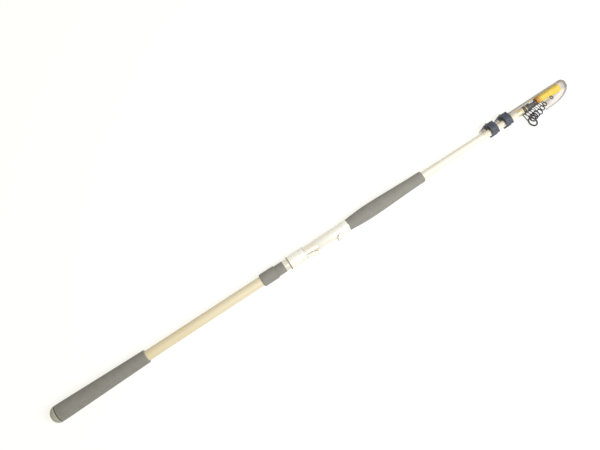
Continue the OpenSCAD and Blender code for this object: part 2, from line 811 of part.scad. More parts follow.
module tip_guide_ring(i) {
    color(ring_black) lay() guide_ring(
        tip_leg_x[i], tip_reach - i * tip_reach_step, tip_od - i * tip_od_step
    );
}

module tip_top_frame() {
    bore_r = tip_r(tip_top_x) + glue;
    color(gunmetal) lay() guide_frame(
        tip_top_x, tip_top_l, tip_top_leg_x, bore_r + tip_top_t, bore_r, tip_top_reach, tip_top_od, leg_d, 0
    );
}

module tip_top_ring() {
    color(ring_black) lay() guide_ring(tip_top_leg_x, tip_top_reach, tip_top_od);
}

// Side outline of the bulge over the tip guides, drawn in by inset for its inside
function fin_outline(inset) = concat(
    [
        [fin_rear_x, 0],
        [fin_rear_x + fin_slant, -fin_depth + inset],
        [fin_rear_x + fin_flat_l, -fin_depth + inset]
    ],
    [
        for (a = [10 : 10 : 80])
            [
                fin_rear_x + fin_flat_l + (cover_end_x - inset - fin_rear_x - fin_flat_l) * sin(a),
                -(fin_depth - inset) * cos(a)
            ]
    ],
    [[cover_end_x - inset - fin_end_gap, 0]]
);

// Inside of the cover, or its outside, as one solid
module cover_form(r, inset) {
    translate([cover_x - inset, 0, 0]) rotate([0, 90, 0])
        cylinder(r = r, h = cover_dome_x - cover_x + inset, $fn = round_fn);
    translate([cover_dome_x, 0, 0]) sphere(r = r, $fn = round_fn);
    translate([0, 0, -fin_w / 2 + inset]) linear_extrude(fin_w - 2 * inset) polygon(fin_outline(inset));
}

module tip_cover() {
    color(clear) lay() translate([0, cover_rise, 0]) difference() {
        cover_form(cover_r, 0);
        cover_form(cover_in_r, cover_wall);
        // Open mouth at the rear of the bulge
        translate([fin_rear_x - cut, -fin_depth + cover_wall, -fin_w / 2 + cover_wall])
            cube([fin_slant + 2 * cut, fin_depth - cover_wall, fin_w - 2 * cover_wall]);
        // The channel behind the bulge is open on the guide side
        translate([cover_x - cut, -cover_edge - cover_rise - cover_r, -cover_r - cut])
            cube([fin_rear_x - cover_x, cover_r, cover_r * 2 + 2 * cut]);
        for (i = [0, 1]) rivet_hole(i);
    }
}

module rivet_hole(i) {
    translate([strap_1_x + strap_pitch * i + rivet_x, 0, 0]) rotate([-90, 0, 0])
        cylinder(d = rivet_d + 2 * glue, h = rivet_top, $fn = small_fn);
}

module cover_pads() {
    color(strap_black) lay() difference() {
        for (i = [0, 1]) across(strap_1_x - strap_lead + strap_pitch * i, strap_w + strap_lead) difference() {
            translate([cover_rise, 0]) circle(r = cover_in_r - glue, $fn = round_fn);
            circle(r = pad_in_r, $fn = round_fn);
            translate([-pad_edge - cover_r * 2, -cover_r]) square([cover_r * 2, cover_r * 2]);
        }
        for (i = [0, 1]) rivet_hole(i);
    }
}

// One strap: a clip round cover and blank, open on the guide side, with a back block and a tail
module strap(i) {
    x = strap_1_x + strap_pitch * i;
    block_x = x - strap_lead;
    end_y = sqrt(pow((strap_in_r + strap_r) / 2, 2) - pow(strap_gap, 2));
    tail_w = strap_block_w * 0.7;
    tail_y = strap_in_r;
    tail_drop = 0.3;
    lip_d = strap_t * 1.3;
    color(strap_black) lay() translate([0, cover_rise, 0]) difference() {
        union() {
            across(x, strap_w) {
                difference() {
                    circle(r = strap_r, $fn = round_fn);
                    circle(r = strap_in_r, $fn = round_fn);
                    translate([-strap_r * 2, -strap_gap]) square([strap_r * 2, strap_gap * 2]);
                }
                // Rolled lips at the open ends
                for (side = [-1, 1])
                    translate([-end_y - lip_d / 4, side * (strap_gap + lip_d / 2)])
                        circle(d = lip_d, $fn = small_fn);
            }
            across(block_x, strap_w + strap_lead) difference() {
                translate([0, -strap_block_w / 2]) square([strap_back, strap_block_w]);
                circle(r = strap_in_r, $fn = round_fn);
            }
            translate([0, 0, -tail_w / 2]) linear_extrude(tail_w) polygon([
                [x - strap_tail_l, tail_y], [block_x + cut, tail_y], [block_x + cut, strap_back],
                [block_x, strap_back - tail_drop]
            ]);
        }
        rivet_hole(i);
    }
}

module rear_strap() {
    strap(0);
}

module front_strap() {
    strap(1);
}

module strap_rivets() {
    head_r = rivet_head_d / 2;
    seat_y = strap_back + glue;
    rim_h = rivet_head_h / 2;
    foot_y = pad_in_r + glue - cover_rise;
    color(brass) lay() for (i = [0, 1])
        translate([strap_1_x + strap_pitch * i + rivet_x, cover_rise, 0]) rotate([-90, 0, 0])
            rotate_extrude($fn = small_fn) polygon(concat(
                [
                    [0, foot_y], [rivet_d / 2, foot_y], [rivet_d / 2, seat_y],
                    [head_r, seat_y]
                ],
                [for (a = [0 : 15 : 90]) [head_r * cos(a), strap_back + rim_h + rim_h * sin(a)]]
            ));
}

module tip_foam() {
    r = foam_d / 2;
    slot_r = foam_slot / 2;
    side_r = fin_w / 2 - cover_wall - face_gap;
    x = mouth_x + foam_x;
    slope_x = x + foam_level_l;
    color(foam_yellow) lay() difference() {
        across(x, foam_l) difference() {
            // The sleeve lies within the cover's wall
            intersection() {
                circle(r = r, $fn = round_fn);
                union() {
                    translate([cover_rise, 0]) circle(r = cover_in_r - face_gap, $fn = round_fn);
                    translate([-r * 2, -side_r]) square([r * 2, side_r * 2]);
                }
            }
            circle(r = slot_r, $fn = round_fn);
            translate([-r * 2, -slot_r]) square([r * 2, foam_slot]);
        }
        // The open edges come down towards the front end
        translate([0, 0, -r * 2]) linear_extrude(r * 4) polygon([
            [x - cut, -foam_edge], [slope_x, -foam_edge], [x + foam_l, -foam_front_edge],
            [x + foam_l + cut, -foam_front_edge], [x + foam_l + cut, -r * 2], [x - cut, -r * 2]
        ]);
    }
}

butt_cap();
butt_plug();
plug_cushion();
trim_ring();
thread_insert();
rear_grip();
butt_blank();
seat_trim();
seat_collar();
seat_pipe();
seat_arbors();
lock_nut();
nut_ring();
moving_hood();
fixed_hood();
front_grip();
mouth_ferrule();
second_blank();
stripper_frame();
stripper_ring();
third_blank();
third_guide_frame(0);  // third_guide_1_frame
third_guide_ring(0);  // third_guide_1_ring
third_guide_frame(1);  // third_guide_2_frame
third_guide_ring(1);  // third_guide_2_ring
third_guide_band();  // third_guide_2_band
third_guide_frame(2);  // third_guide_3_frame
third_guide_ring(2);  // third_guide_3_ring
tip_blank();
tip_guide_frame(0);  // tip_guide_1_frame
tip_guide_ring(0);  // tip_guide_1_ring
tip_guide_frame(1);  // tip_guide_2_frame
tip_guide_ring(1);  // tip_guide_2_ring
tip_guide_frame(2);  // tip_guide_3_frame
tip_guide_ring(2);  // tip_guide_3_ring
tip_top_frame();
tip_top_ring();
tip_cover();
cover_pads();
rear_strap();
front_strap();
strap_rivets();
tip_foam();
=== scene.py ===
import math

import bmesh
import bpy
from mathutils import Matrix, Vector, noise


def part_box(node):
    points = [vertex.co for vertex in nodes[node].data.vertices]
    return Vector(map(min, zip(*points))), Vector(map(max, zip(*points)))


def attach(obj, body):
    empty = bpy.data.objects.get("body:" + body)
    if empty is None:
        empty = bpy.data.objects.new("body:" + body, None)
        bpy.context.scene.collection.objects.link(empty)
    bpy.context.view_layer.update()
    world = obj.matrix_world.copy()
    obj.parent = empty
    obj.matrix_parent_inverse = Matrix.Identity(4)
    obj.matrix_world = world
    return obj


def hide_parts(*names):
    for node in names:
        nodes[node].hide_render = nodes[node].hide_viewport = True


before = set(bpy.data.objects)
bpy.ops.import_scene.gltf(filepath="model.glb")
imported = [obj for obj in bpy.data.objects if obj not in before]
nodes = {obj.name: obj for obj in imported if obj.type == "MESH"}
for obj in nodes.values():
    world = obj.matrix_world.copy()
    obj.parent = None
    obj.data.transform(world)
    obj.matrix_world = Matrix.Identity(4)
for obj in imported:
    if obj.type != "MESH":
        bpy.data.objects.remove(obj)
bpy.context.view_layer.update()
scene = bpy.context.scene
scene.view_settings.view_transform = "Standard"

# Everything below is laid out in millimetres along the rod's axis: x to the tip, y away from the guides and
# z up. The butt's trim ring gives the start of x and the axis.
ringStart = 16.05
ringLow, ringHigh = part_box("trim_ring")
buttX = ringLow.x - ringStart / 1000
axisY = (ringLow.y + ringHigh.y) / 2
axisZ = (ringLow.z + ringHigh.z) / 2
# pieces that touch are drawn this far apart
gap = 0.05


def at(x, y=0.0, z=0.0):
    return Vector((buttX + x / 1000, axisY + y / 1000, axisZ + z / 1000))


def offAxis(vertex):
    return math.hypot(vertex.co.y - axisY, vertex.co.z - axisZ) * 1000


def radii(node):
    spans = [offAxis(vertex) for vertex in nodes[node].data.vertices]
    return min(spans), max(spans)


def endsOf(node):
    low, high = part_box(node)
    return (low.x - buttX) * 1000, (high.x - buttX) * 1000


def mix(a, b, t):
    return a + (b - a) * t


def spaced(first, last, steps, skip=0):
    return [mix(first, last, i / steps) for i in range(skip, steps + 1)]


def smooth(t):
    t = min(max(t, 0.0), 1.0)
    return t * t * (3 - 2 * t)


print("frame loaded, axis at", round(axisY, 5), round(axisZ, 5))

# camera: nearly straight above, a little from the guide side
view = {"target": (573.05, 49.5, 0), "azimuth": -33.236, "elevation": 81.68, "distance": 1.268, "lens": 40.2,
        "sensor": 36, "nearest": 0.01}
turn, lift = math.radians(view["azimuth"]), math.radians(view["elevation"])
back = Vector((math.sin(turn) * math.cos(lift), -math.cos(turn) * math.cos(lift), math.sin(lift)))
cameraData = bpy.data.cameras.new("camera")
cameraData.sensor_width = view["sensor"]
cameraData.lens = view["lens"]
cameraData.clip_start = view["nearest"]
camera = bpy.data.objects.new("camera", cameraData)
camera.location = at(*view["target"]) + back * view["distance"]
camera.rotation_euler = (-back).to_track_quat("-Z", "Y").to_euler()
scene.collection.objects.link(camera)
scene.camera = camera
print("camera set")


def fill(node, inputs):
    # an input is a value, a socket, a node, which gives its first output in use, or a list of these
    for place, value in inputs.items():
        for part in value if isinstance(value, list) else [value]:
            if isinstance(part, bpy.types.Node):
                part = next(socket for socket in part.outputs if socket.enabled)
            if isinstance(part, bpy.types.NodeSocket):
                node.id_data.links.new(part, node.inputs[place])
            else:
                node.inputs[place].default_value = part


def paint(hexValue):
    channels = [int(hexValue[i:i + 2], 16) / 255 for i in (1, 3, 5)]
    return tuple(c / 12.92 if c <= 0.04045 else ((c + 0.055) / 1.055) ** 2.4 for c in channels) + (1.0,)


def addNode(tree, kind, inputs=None, stops=(), **settings):
    # a kind of the tree's own family is given without ShaderNode or GeometryNode
    node = tree.nodes.new(kind if "Node" in kind else tree.bl_idname.replace("Tree", kind))
    for name, value in settings.items():
        setattr(node, name, value)
    fill(node, inputs or {})
    if stops:
        ramp = node.color_ramp.elements
        while len(ramp) < len(stops):
            ramp.new(0.99)
        for element, (place, tone) in zip(ramp, stops):
            element.position = place
            element.color = paint(tone)
    return node


def perMm(size):
    return 1000 / size


def newFinish(name, values=None):
    material = bpy.data.materials.new(name)
    material.use_nodes = True
    tree = material.node_tree
    shader = tree.nodes["Principled BSDF"]
    fill(shader, values or {})
    return material, tree, shader, addNode(tree, "TexCoord").outputs["Object"]


def coat(shader, tone, dull, bump):
    # tone is a pattern and its colours; dull is a pattern, its range of roughness and, where not all of the
    # pattern counts, the part that does; bump is a pattern, its strength and depth; gives back the colour
    tree = shader.id_data
    source, low, high, *span = dull
    fromMin, fromMax = span or (0.0, 1.0)
    colour = addNode(tree, "ValToRGB", {"Fac": tone[0]}, tone[1])
    rough = addNode(tree, "MapRange", {
        "Value": source, "From Min": fromMin, "From Max": fromMax, "To Min": low, "To Max": high})
    normal = addNode(tree, "Bump", {"Height": bump[0], "Strength": bump[1], "Distance": bump[2]})
    fill(shader, {"Base Color": colour, "Roughness": rough, "Normal": normal})
    return colour


def evaFoam():
    # closed-cell EVA, turned and sanded: dry matte grey, fine open cells, faint sanding rings
    material, tree, shader, place = newFinish("evaFoamSanded", {
        "Sheen Weight": 0.12, "Sheen Roughness": 0.5})
    mottle = addNode(tree, "TexNoise", {
        "Vector": place, "Scale": perMm(14), "Detail": 7.0, "Roughness": 0.62})
    # cells are about 0.4 mm, drawn at 1.1 mm so that they show
    cells = addNode(tree, "TexVoronoi", {"Vector": place, "Scale": perMm(1.1)})
    along = addNode(tree, "Mapping", {"Vector": place, "Scale": (1, 0.06, 0.06)})
    rings = addNode(tree, "TexNoise", {"Vector": along, "Scale": perMm(2.2), "Detail": 3.0})
    height = addNode(tree, "Math", {0: cells, 1: rings}, operation="ADD")
    tone = coat(shader, (mottle, [(0.3, "#8C8B84"), (0.52, "#92918A"), (0.74, "#989790")]),
                (mottle, 0.78, 0.95), (height, 0.35, 0.0004))
    pores = addNode(tree, "MapRange", {
        "Value": cells, "From Min": 0.05, "From Max": 0.7, "To Min": 0.9, "To Max": 1.05})
    colour = addNode(tree, "Mix", {0: 1.0, 6: tone, 7: pores}, data_type="RGBA", blend_type="MULTIPLY")
    fill(shader, {"Base Color": colour})
    return material


def capRubber():
    # moulded soft rubber, light grey with a green cast: satin, fine spark-eroded grain, scuffed pale patches
    material, tree, shader, place = newFinish("mouldedRubberGrey")
    grain = addNode(tree, "TexNoise", {"Vector": place, "Scale": perMm(0.8), "Detail": 4.0})
    scuff = addNode(tree, "TexNoise", {
        "Vector": place, "Scale": perMm(11), "Detail": 8.0, "Roughness": 0.7})
    coat(shader, (scuff, [(0.3, "#AEAF9F"), (0.55, "#BCBDAD"), (0.75, "#C8C9BA")]), (scuff, 0.45, 0.72),
         (grain, 0.25, 0.0003))
    return material


mouthwardToneAndLight = {"shiftFrom": 120, "shiftTo": 900}


def blankLacquer(name, mouthToneAndLight):
    # pearl lacquer over wound composite: broad soft gloss, fine flake, the turns of the winding tape below
    material, tree, shader, place = newFinish(name, {
        "Metallic": 0.1, "Coat Weight": 0.05, "Coat Roughness": 0.2, "Specular IOR Level": 0.2})
    # flakes are about 0.05 mm, drawn at 0.9 mm so that they show
    flake = addNode(tree, "TexVoronoi", {"Vector": place, "Scale": perMm(0.9)}).outputs["Color"]
    drift = addNode(tree, "TexNoise", {"Vector": place, "Scale": perMm(90), "Detail": 2.0})
    # the tape leaves a ridge every 3.5 mm
    tape = addNode(tree, "TexWave", {
        "Vector": place, "Scale": perMm(3.5) / math.pi, "Distortion": 0.6, "Detail": 1.0},
        bands_direction="X", wave_profile="SIN").outputs["Fac"]
    tone = coat(shader, (drift, [(0.35, "#E9DAAF"), (0.65, "#EDDFB7")]), (flake, 0.38, 0.48),
                (tape, 0.08, 0.0002))
    # painted light: the colour runs to mouthToneAndLight along the butt, so the outer blank turns paler
    # towards the tip, where the lamp is nearer
    along = addNode(tree, "SeparateXYZ", {"Vector": place})
    mouthward = addNode(tree, "MapRange", {
        "Value": along, "From Min": at(mouthwardToneAndLight["shiftFrom"]).x, "From Max": at(mouthwardToneAndLight["shiftTo"]).x})
    tone = addNode(tree, "Mix", {0: mouthward, 6: tone, 7: paint(mouthToneAndLight)}, data_type="RGBA")
    spark = addNode(tree, "MapRange", {"Value": flake, "To Min": 0.985, "To Max": 1.015})
    colour = addNode(tree, "Mix", {0: 1.0, 6: tone, 7: spark}, data_type="RGBA", blend_type="MULTIPLY")
    fill(shader, {"Base Color": colour})
    return material


def turnedMetal(name, low, high, metal, rough, tool):
    # turned metal, bare, plated or lacquered: satin, tool rings round the rod, a little dulled by handling
    material, tree, shader, place = newFinish(name, {"Metallic": metal})
    along = addNode(tree, "Mapping", {"Vector": place, "Scale": (1, 0.05, 0.05)})
    rings = addNode(tree, "TexNoise", {"Vector": along, "Scale": perMm(tool), "Detail": 4.0})
    haze = addNode(tree, "TexNoise", {
        "Vector": place, "Scale": perMm(18), "Detail": 5.0, "Roughness": 0.6})
    coat(shader, (haze, [(0.35, low), (0.65, high)]), (rings, rough - 0.03, rough + 0.05, 0.3, 0.7),
         (rings, 0.08, 0.0001))
    return material


def moulded(name, low, high, rough, grain):
    # moulded nylon or rubber: satin, with mould grain and paler rubbed spots
    material, tree, shader, place = newFinish(name)
    pits = addNode(tree, "TexNoise", {"Vector": place, "Scale": perMm(grain), "Detail": 3.0})
    rub = addNode(tree, "TexNoise", {
        "Vector": place, "Scale": perMm(8), "Detail": 6.0, "Roughness": 0.65})
    coat(shader, (rub, [(0.35, low), (0.7, high)]), (rub, rough - 0.1, rough + 0.12), (pits, 0.3, 0.0002))
    return material


# painted shade of the foam, laid into the vinyl wall beside and below it
foamShadeOnVinyl = {"from": 1100, "to": 1145, "near": -7, "far": -21, "soft": 0.6, "depth": 0.2,
              "endFrom": 1141, "endTo": 1148, "endDepth": 0.14}


def clearVinyl():
    # blow-moulded clear vinyl, thin and a little smoked: you see through it, and it greys where the eye runs
    # along the wall
    material, tree, shader, place = newFinish("smokedClearVinyl", {"IOR": 1.5})
    ripple = addNode(tree, "TexNoise", {"Vector": place, "Scale": perMm(12), "Detail": 2.0})
    coat(shader, (ripple, [(0.35, "#7A705D"), (0.65, "#867C69")]), (ripple, 0.08, 0.22),
         (ripple, 0.2, 0.0006))
    facing = addNode(tree, "LayerWeight", {"Blend": 0.5}).outputs["Facing"]
    edge = addNode(tree, "MapRange", {"Value": facing, "From Min": 0.05, "To Max": 0.64})
    # painted shade: a tan veil in the wall beside and below the foam, where the foam's shadow falls
    v = foamShadeOnVinyl
    axes = addNode(tree, "SeparateXYZ", {"Vector": place}).outputs
    alongFoam = addNode(tree, "MapRange", {
        "Value": axes["X"], "From Min": at(v["from"]).x, "From Max": at(v["to"]).x})
    besideFoam = addNode(tree, "MapRange", {
        "Value": axes["Y"], "From Min": at(0, v["near"]).y, "From Max": at(0, v["far"]).y})
    fades = addNode(tree, "Math", {0: 1.0, 1: alongFoam}, operation="SUBTRACT")
    depth = addNode(tree, "Math", {0: fades, 1: besideFoam}, operation="SUBTRACT")
    inside = addNode(tree, "Math", {0: besideFoam, 1: 0.0}, operation="GREATER_THAN")
    begun = addNode(tree, "Math", {0: alongFoam, 1: 0.0}, operation="GREATER_THAN")
    area = addNode(tree, "Math", {0: inside, 1: begun}, operation="MULTIPLY")
    wedge = addNode(tree, "MapRange", {"Value": depth, "From Max": v["soft"], "To Max": v["depth"]})
    foamShade = addNode(tree, "Math", {0: wedge, 1: area, 2: edge}, operation="MULTIPLY_ADD")
    # thicker and greyer in the closed end
    endWall = addNode(tree, "MapRange", {
        "Value": axes["X"], "From Min": at(v["endFrom"]).x, "From Max": at(v["endTo"]).x,
        "To Max": v["endDepth"]})
    tubeSide = addNode(tree, "Math", {0: 1.0, 1: inside}, operation="SUBTRACT")
    cloud = addNode(tree, "Math", {0: endWall, 1: tubeSide, 2: foamShade}, operation="MULTIPLY_ADD")
    # lamps shine through it
    shadowRay = addNode(tree, "LightPath").outputs["Is Shadow Ray"]
    lit = addNode(tree, "Math", {0: 1.0, 1: shadowRay}, operation="SUBTRACT")
    solid = addNode(tree, "Math", {0: cloud, 1: lit}, operation="MULTIPLY")
    clear = addNode(tree, "BsdfTransparent", {"Color": paint("#FFFEFD")})
    wall = addNode(tree, "MixShader", {0: solid, 1: clear, 2: shader})
    fill(tree.nodes["Material Output"], {"Surface": wall})
    return material


# painted shade on the foam's rear end
foamEndShade = {"from": 1091, "to": 1101, "tone": "#CF8E38"}


def yellowFoam():
    # extruded polyethylene foam: soft bright yellow, light sinks in, a skin of small cells
    material, tree, shader, place = newFinish("polyFoamYellow", {
        "Subsurface Weight": 0.2, "Subsurface Scale": 0.004, "Subsurface Radius": (1.0, 0.75, 0.25)})
    cells = addNode(tree, "TexVoronoi", {"Vector": place, "Scale": perMm(1.4)})
    shade = addNode(tree, "TexNoise", {"Vector": place, "Scale": perMm(10), "Detail": 5.0})
    tone = coat(shader, (shade, [(0.3, "#FDDA5C"), (0.5, "#FEE064"), (0.7, "#FFE66E")]), (shade, 0.6, 0.8),
                (cells, 0.15, 0.0002))
    # painted shade: the foam's rear end is darkened to orange brown
    along = addNode(tree, "SeparateXYZ", {"Vector": place})
    shadedEnd = addNode(tree, "MapRange", {
        "Value": along, "From Min": at(foamEndShade["from"]).x, "From Max": at(foamEndShade["to"]).x,
        "To Min": 1.0, "To Max": 0.0})
    tone = addNode(tree, "Mix", {0: shadedEnd, 6: tone, 7: paint(foamEndShade["tone"])}, data_type="RGBA")
    walls = addNode(tree, "MapRange", {"Value": cells, "To Min": 0.98, "To Max": 1.01})
    colour = addNode(tree, "Mix", {0: 1.0, 6: tone, 7: walls}, data_type="RGBA", blend_type="MULTIPLY")
    fill(shader, {"Base Color": colour})
    return material


def ringCeramic():
    # polished oxide ceramic: near black and very glossy, a faint swirl from lapping
    material, tree, shader, place = newFinish("oxideCeramic", {"IOR": 1.76})
    swirl = addNode(tree, "TexNoise", {"Vector": place, "Scale": perMm(3), "Detail": 4.0})
    coat(shader, (swirl, [(0.35, "#2E2E32"), (0.65, "#3A3A3F")]), (swirl, 0.08, 0.22), (swirl, 0.1, 0.0001))
    return material


finishes = {
    "grip": evaFoam(),
    "cap": capRubber(),
    # painted light: the outer blank's colour runs paler towards the tip, where the lamp is nearer
    "blank": blankLacquer("champagneLacquer", "#F4EFE1"),
    "innerBlank": blankLacquer("goldenLacquer", "#D9C793"),
    "silver": turnedMetal("silverLacquer", "#F8F6EA", "#FBFAF1", metal=0.35, rough=0.34, tool=1.6),
    # the thread's warm tan tone is partly painted shade, standing for the tan reflection band on its ridges;
    # the rest is the bare metal's own colour
    "thread": turnedMetal("bareThreadShadedTan", "#EAE2D2", "#F3ECDE", metal=0.55, rough=0.3, tool=0.8),
    "paleGold": turnedMetal("paleGoldPlate", "#DCCB9A", "#E8DAB2", metal=0.8, rough=0.28, tool=0.7),
    "guide": turnedMetal("darkSteelWire", "#46464B", "#55555A", metal=0.8, rough=0.4, tool=0.6),
    "brass": turnedMetal("brassRivet", "#A99B6C", "#BDAE7F", metal=1.0, rough=0.34, tool=0.5),
    "collar": moulded("darkNylonCollar", "#4E4E4F", "#5E5E5F", rough=0.45, grain=0.7),
    "paleCollar": moulded("creamNylonCollar", "#D9D0B6", "#E9E2CB", rough=0.45, grain=0.7),
    "trim": moulded("blackTrim", "#1C1A1C", "#282628", rough=0.35, grain=0.6),
    "nutTrim": moulded("greyTrim", "#8A857A", "#9A958A", rough=0.45, grain=0.6),
    "strap": moulded("strapRubber", "#3E424D", "#4B505D", rough=0.55, grain=0.8),
    "pad": moulded("padRubber", "#2B2B2E", "#39393C", rough=0.7, grain=1.2),
    "plug": moulded("blackNylon", "#1E1E20", "#2C2C2F", rough=0.5, grain=0.8),
    "ceramic": ringCeramic(),
    "vinyl": clearVinyl(),
    "foam": yellowFoam(),
}
print("finishes made:", len(finishes))


def toPiece(name, bm, *surfaces):
    mesh = bpy.data.meshes.new(name)
    bm.to_mesh(mesh)
    bm.free()
    for surface in surfaces:
        mesh.materials.append(surface)
    piece = bpy.data.objects.new(name, mesh)
    scene.collection.objects.link(piece)
    return piece


# edges that turn by more degrees than this stay hard, unless a piece has its own angle
hardAngle = 40
# rounding takes at most this share of a side
roundShare = 0.49
# points nearer than this, in metres, are one point, in a mesh made here or grown by a node tree
madeWeld = 2e-6
grownWeld = 1e-6


def weld(bm, distance):
    bmesh.ops.remove_doubles(bm, verts=bm.verts, dist=distance)
    bmesh.ops.recalc_face_normals(bm, faces=bm.faces)


def soften(piece, sharp):
    piece.data.shade_smooth()
    piece.data.set_sharp_from_angle(angle=math.radians(sharp))
    return piece


def finishMesh(name, bm, finish, sharp=hardAngle):
    weld(bm, madeWeld)
    return soften(toPiece(name, bm, finishes[finish]), sharp)


def settle(piece, body, slot, *standsFor):
    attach(piece, body)
    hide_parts(*standsFor)
    return piece


def applyModifiers(piece):
    graph = bpy.context.evaluated_depsgraph_get()
    mesh = bpy.data.meshes.new_from_object(piece.evaluated_get(graph), depsgraph=graph)
    piece.modifiers.clear()
    piece.data = mesh


def walled(piece, thickness, bevel, segments, corner):
    # gives a thin skin its wall, with the edges past the corner angle rounded
    wall = piece.modifiers.new("wall", "SOLIDIFY")
    wall.thickness = thickness / 1000
    wall.offset = -1
    rim = piece.modifiers.new("rim", "BEVEL")
    rim.width = bevel / 1000
    rim.segments = segments
    rim.limit_method = "ANGLE"
    rim.angle_limit = math.radians(corner)
    applyModifiers(piece)
    piece.data.shade_smooth()


def merge(name, pieces):
    bm = bmesh.new()
    used = []
    for piece in pieces:
        first = len(bm.faces)
        bm.from_mesh(piece.data)
        bm.faces.ensure_lookup_table()
        for face in bm.faces[first:]:
            finish = piece.data.materials[face.material_index]
            if finish not in used:
                used.append(finish)
            face.material_index = used.index(finish)
    whole = soften(toPiece(name, bm, *used), hardAngle)
    for piece in pieces:
        bpy.data.objects.remove(piece)
    return whole


def skin(bm, rows, closed=True, flip=False):
    # faces between each row of points and the next
    count = len(rows[0])
    for a, b in zip(rows, rows[1:]):
        for j in range(count if closed else count - 1):
            k = (j + 1) % count
            face = (a[j], a[k], b[k], b[j])
            bm.faces.new(face[::-1] if flip else face)


def eased(points):
    # corners given with a third number are rounded by that many millimetres
    result = []
    steps = 6
    for i, point in enumerate(points):
        here = Vector(point[:2])
        if len(point) < 3:
            result.append(here)
            continue
        before = Vector(points[i - 1][:2]) - here
        after = Vector(points[(i + 1) % len(points)][:2]) - here
        start = here + before.normalized() * min(point[2], before.length * roundShare)
        end = here + after.normalized() * min(point[2], after.length * roundShare)
        for t in spaced(0, 1, steps):
            result.append(start * (1 - t) ** 2 + here * 2 * t * (1 - t) + end * t * t)
    return result


def turned(name, points, finish, sides=72, flat=None):
    bm = bmesh.new()
    profile = eased(points)
    rings = []
    for x, r in profile:
        ring = []
        for j in range(sides):
            angle = 2 * math.pi * j / sides
            y = r * math.cos(angle)
            if flat and r > flat:
                y = max(y, -flat)
            ring.append(bm.verts.new(at(x, y, r * math.sin(angle))))
        rings.append(ring)
    for i, ring in enumerate(rings):
        other = (i + 1) % len(rings)
        # no faces along the axis itself
        if max(profile[i][1], profile[other][1]) >= 1e-6:
            skin(bm, (ring, rings[other]))
    return finishMesh(name, bm, finish)


def sleeve(start, end, inner, outer, edge):
    return [(start, inner), (start, outer, edge), (end, outer, edge), (end, inner)]


blank = {"start": 17.6, "knee": 455.6, "mouth": 1052.1, "rear": 10.1, "seat": 9.6, "front": 6.7, "wall": 1.3,
         "edge": 0.2, "sides": 64}


def blankRadius(x):
    if x < blank["knee"]:
        return mix(blank["rear"], blank["seat"], (x - blank["start"]) / (blank["knee"] - blank["start"]))
    return mix(blank["seat"], blank["front"], (x - blank["knee"]) / (blank["mouth"] - blank["knee"]))


def onBlank(x):
    return x, blankRadius(x) + gap


# butt end
buttCap = {"start": 1.8, "end": 15.98, "rim": 0.8, "radius": 16.5, "pocket": 13.05, "pocketX": 9.6,
           "edge": 0.3, "steps": 24}
c = buttCap
dome = c["end"] - c["rim"] - c["start"]
points = []
for i in range(c["steps"] + 1):
    angle = math.pi / 2 * (1 - i / c["steps"])
    points.append((c["start"] + dome * (1 - math.sin(angle)), c["radius"] * math.cos(angle)))
points += [(c["end"], c["radius"], c["edge"]), (c["end"], c["pocket"], c["edge"]),
           (c["pocketX"], c["pocket"]), (c["pocketX"], 0)]
settle(turned("buttCap", points, "cap"), "butt_cap", "cap_rubber", "butt_cap")

plugCushion = {"edge": 0.8}
points = sleeve(*endsOf("plug_cushion"), *radii("plug_cushion"), plugCushion["edge"])
cushion = turned("plugCushion", points, "pad")
settle(cushion, "butt_cap", "soft_foam", "plug_cushion")

trimRing = {"outerEdge": 0.4, "innerEdge": 0.1}
inner, outer = radii("trim_ring")
start, end = endsOf("trim_ring")
settle(turned("buttTrimRing", [
    (start, outer, trimRing["outerEdge"]), (end, outer, trimRing["outerEdge"]),
    (end, inner, trimRing["innerEdge"]), (start, inner, trimRing["innerEdge"])], "trim"),
    "cap_ring", "trim_black", "trim_ring")

rearGrip = {"start": 17.6, "length": 187.0, "straight": 12.0, "nose": 5.2, "butt": 16.5, "middle": 14.7,
            "front": 13.0, "edge": 0.4, "round": 3.4, "steps": 44}
g = rearGrip
gripEnd = g["start"] + g["length"]
sag = g["middle"] - (g["butt"] + g["front"]) / 2
taper = g["length"] - g["straight"] - g["nose"]
points = [onBlank(g["start"]), (g["start"], g["butt"], g["edge"])]
for t in spaced(0, 1, g["steps"]):
    radius = mix(g["butt"], g["front"], t) + sag * 4 * t * (1 - t)
    points.append((g["start"] + g["straight"] + t * taper, radius))
points += [(gripEnd, g["front"], g["round"]), onBlank(gripEnd)]
settle(turned("rearGrip", points, "grip"), "butt_section", "eva_foam", "rear_grip")

b = blank
settle(turned("buttBlank", [
    (b["start"], b["rear"]), (b["knee"], b["seat"]), (b["mouth"], b["front"], b["edge"]),
    (b["mouth"], b["front"] - b["wall"], b["edge"]), (b["knee"], b["seat"] - b["wall"]),
    (b["start"], b["rear"] - b["wall"])], "blank", b["sides"]),
    "butt_section", "blank_lacquer", "butt_blank")

seatTrim = {"start": 455.6, "end": 487.6, "radius": 12.75, "rear": 3.2, "front": 1.2, "neckEnd": 505.55,
            "neck": 11.0, "neckRear": 0.3, "neckFront": 0.6}
s = seatTrim
neckStart = s["end"] + gap
settle(turned("seatTrim", [
    onBlank(s["start"]), (s["start"], s["radius"], s["rear"]), (s["end"], s["radius"], s["front"]),
    onBlank(s["end"])], "grip"), "butt_section", "eva_foam", "seat_trim")
settle(turned("seatNeck", [
    onBlank(neckStart), (neckStart, s["neck"], s["neckRear"]), (s["neckEnd"], s["neck"], s["neckFront"]),
    onBlank(s["neckEnd"])], "grip"), "butt_section", "eva_foam", "seat_collar")

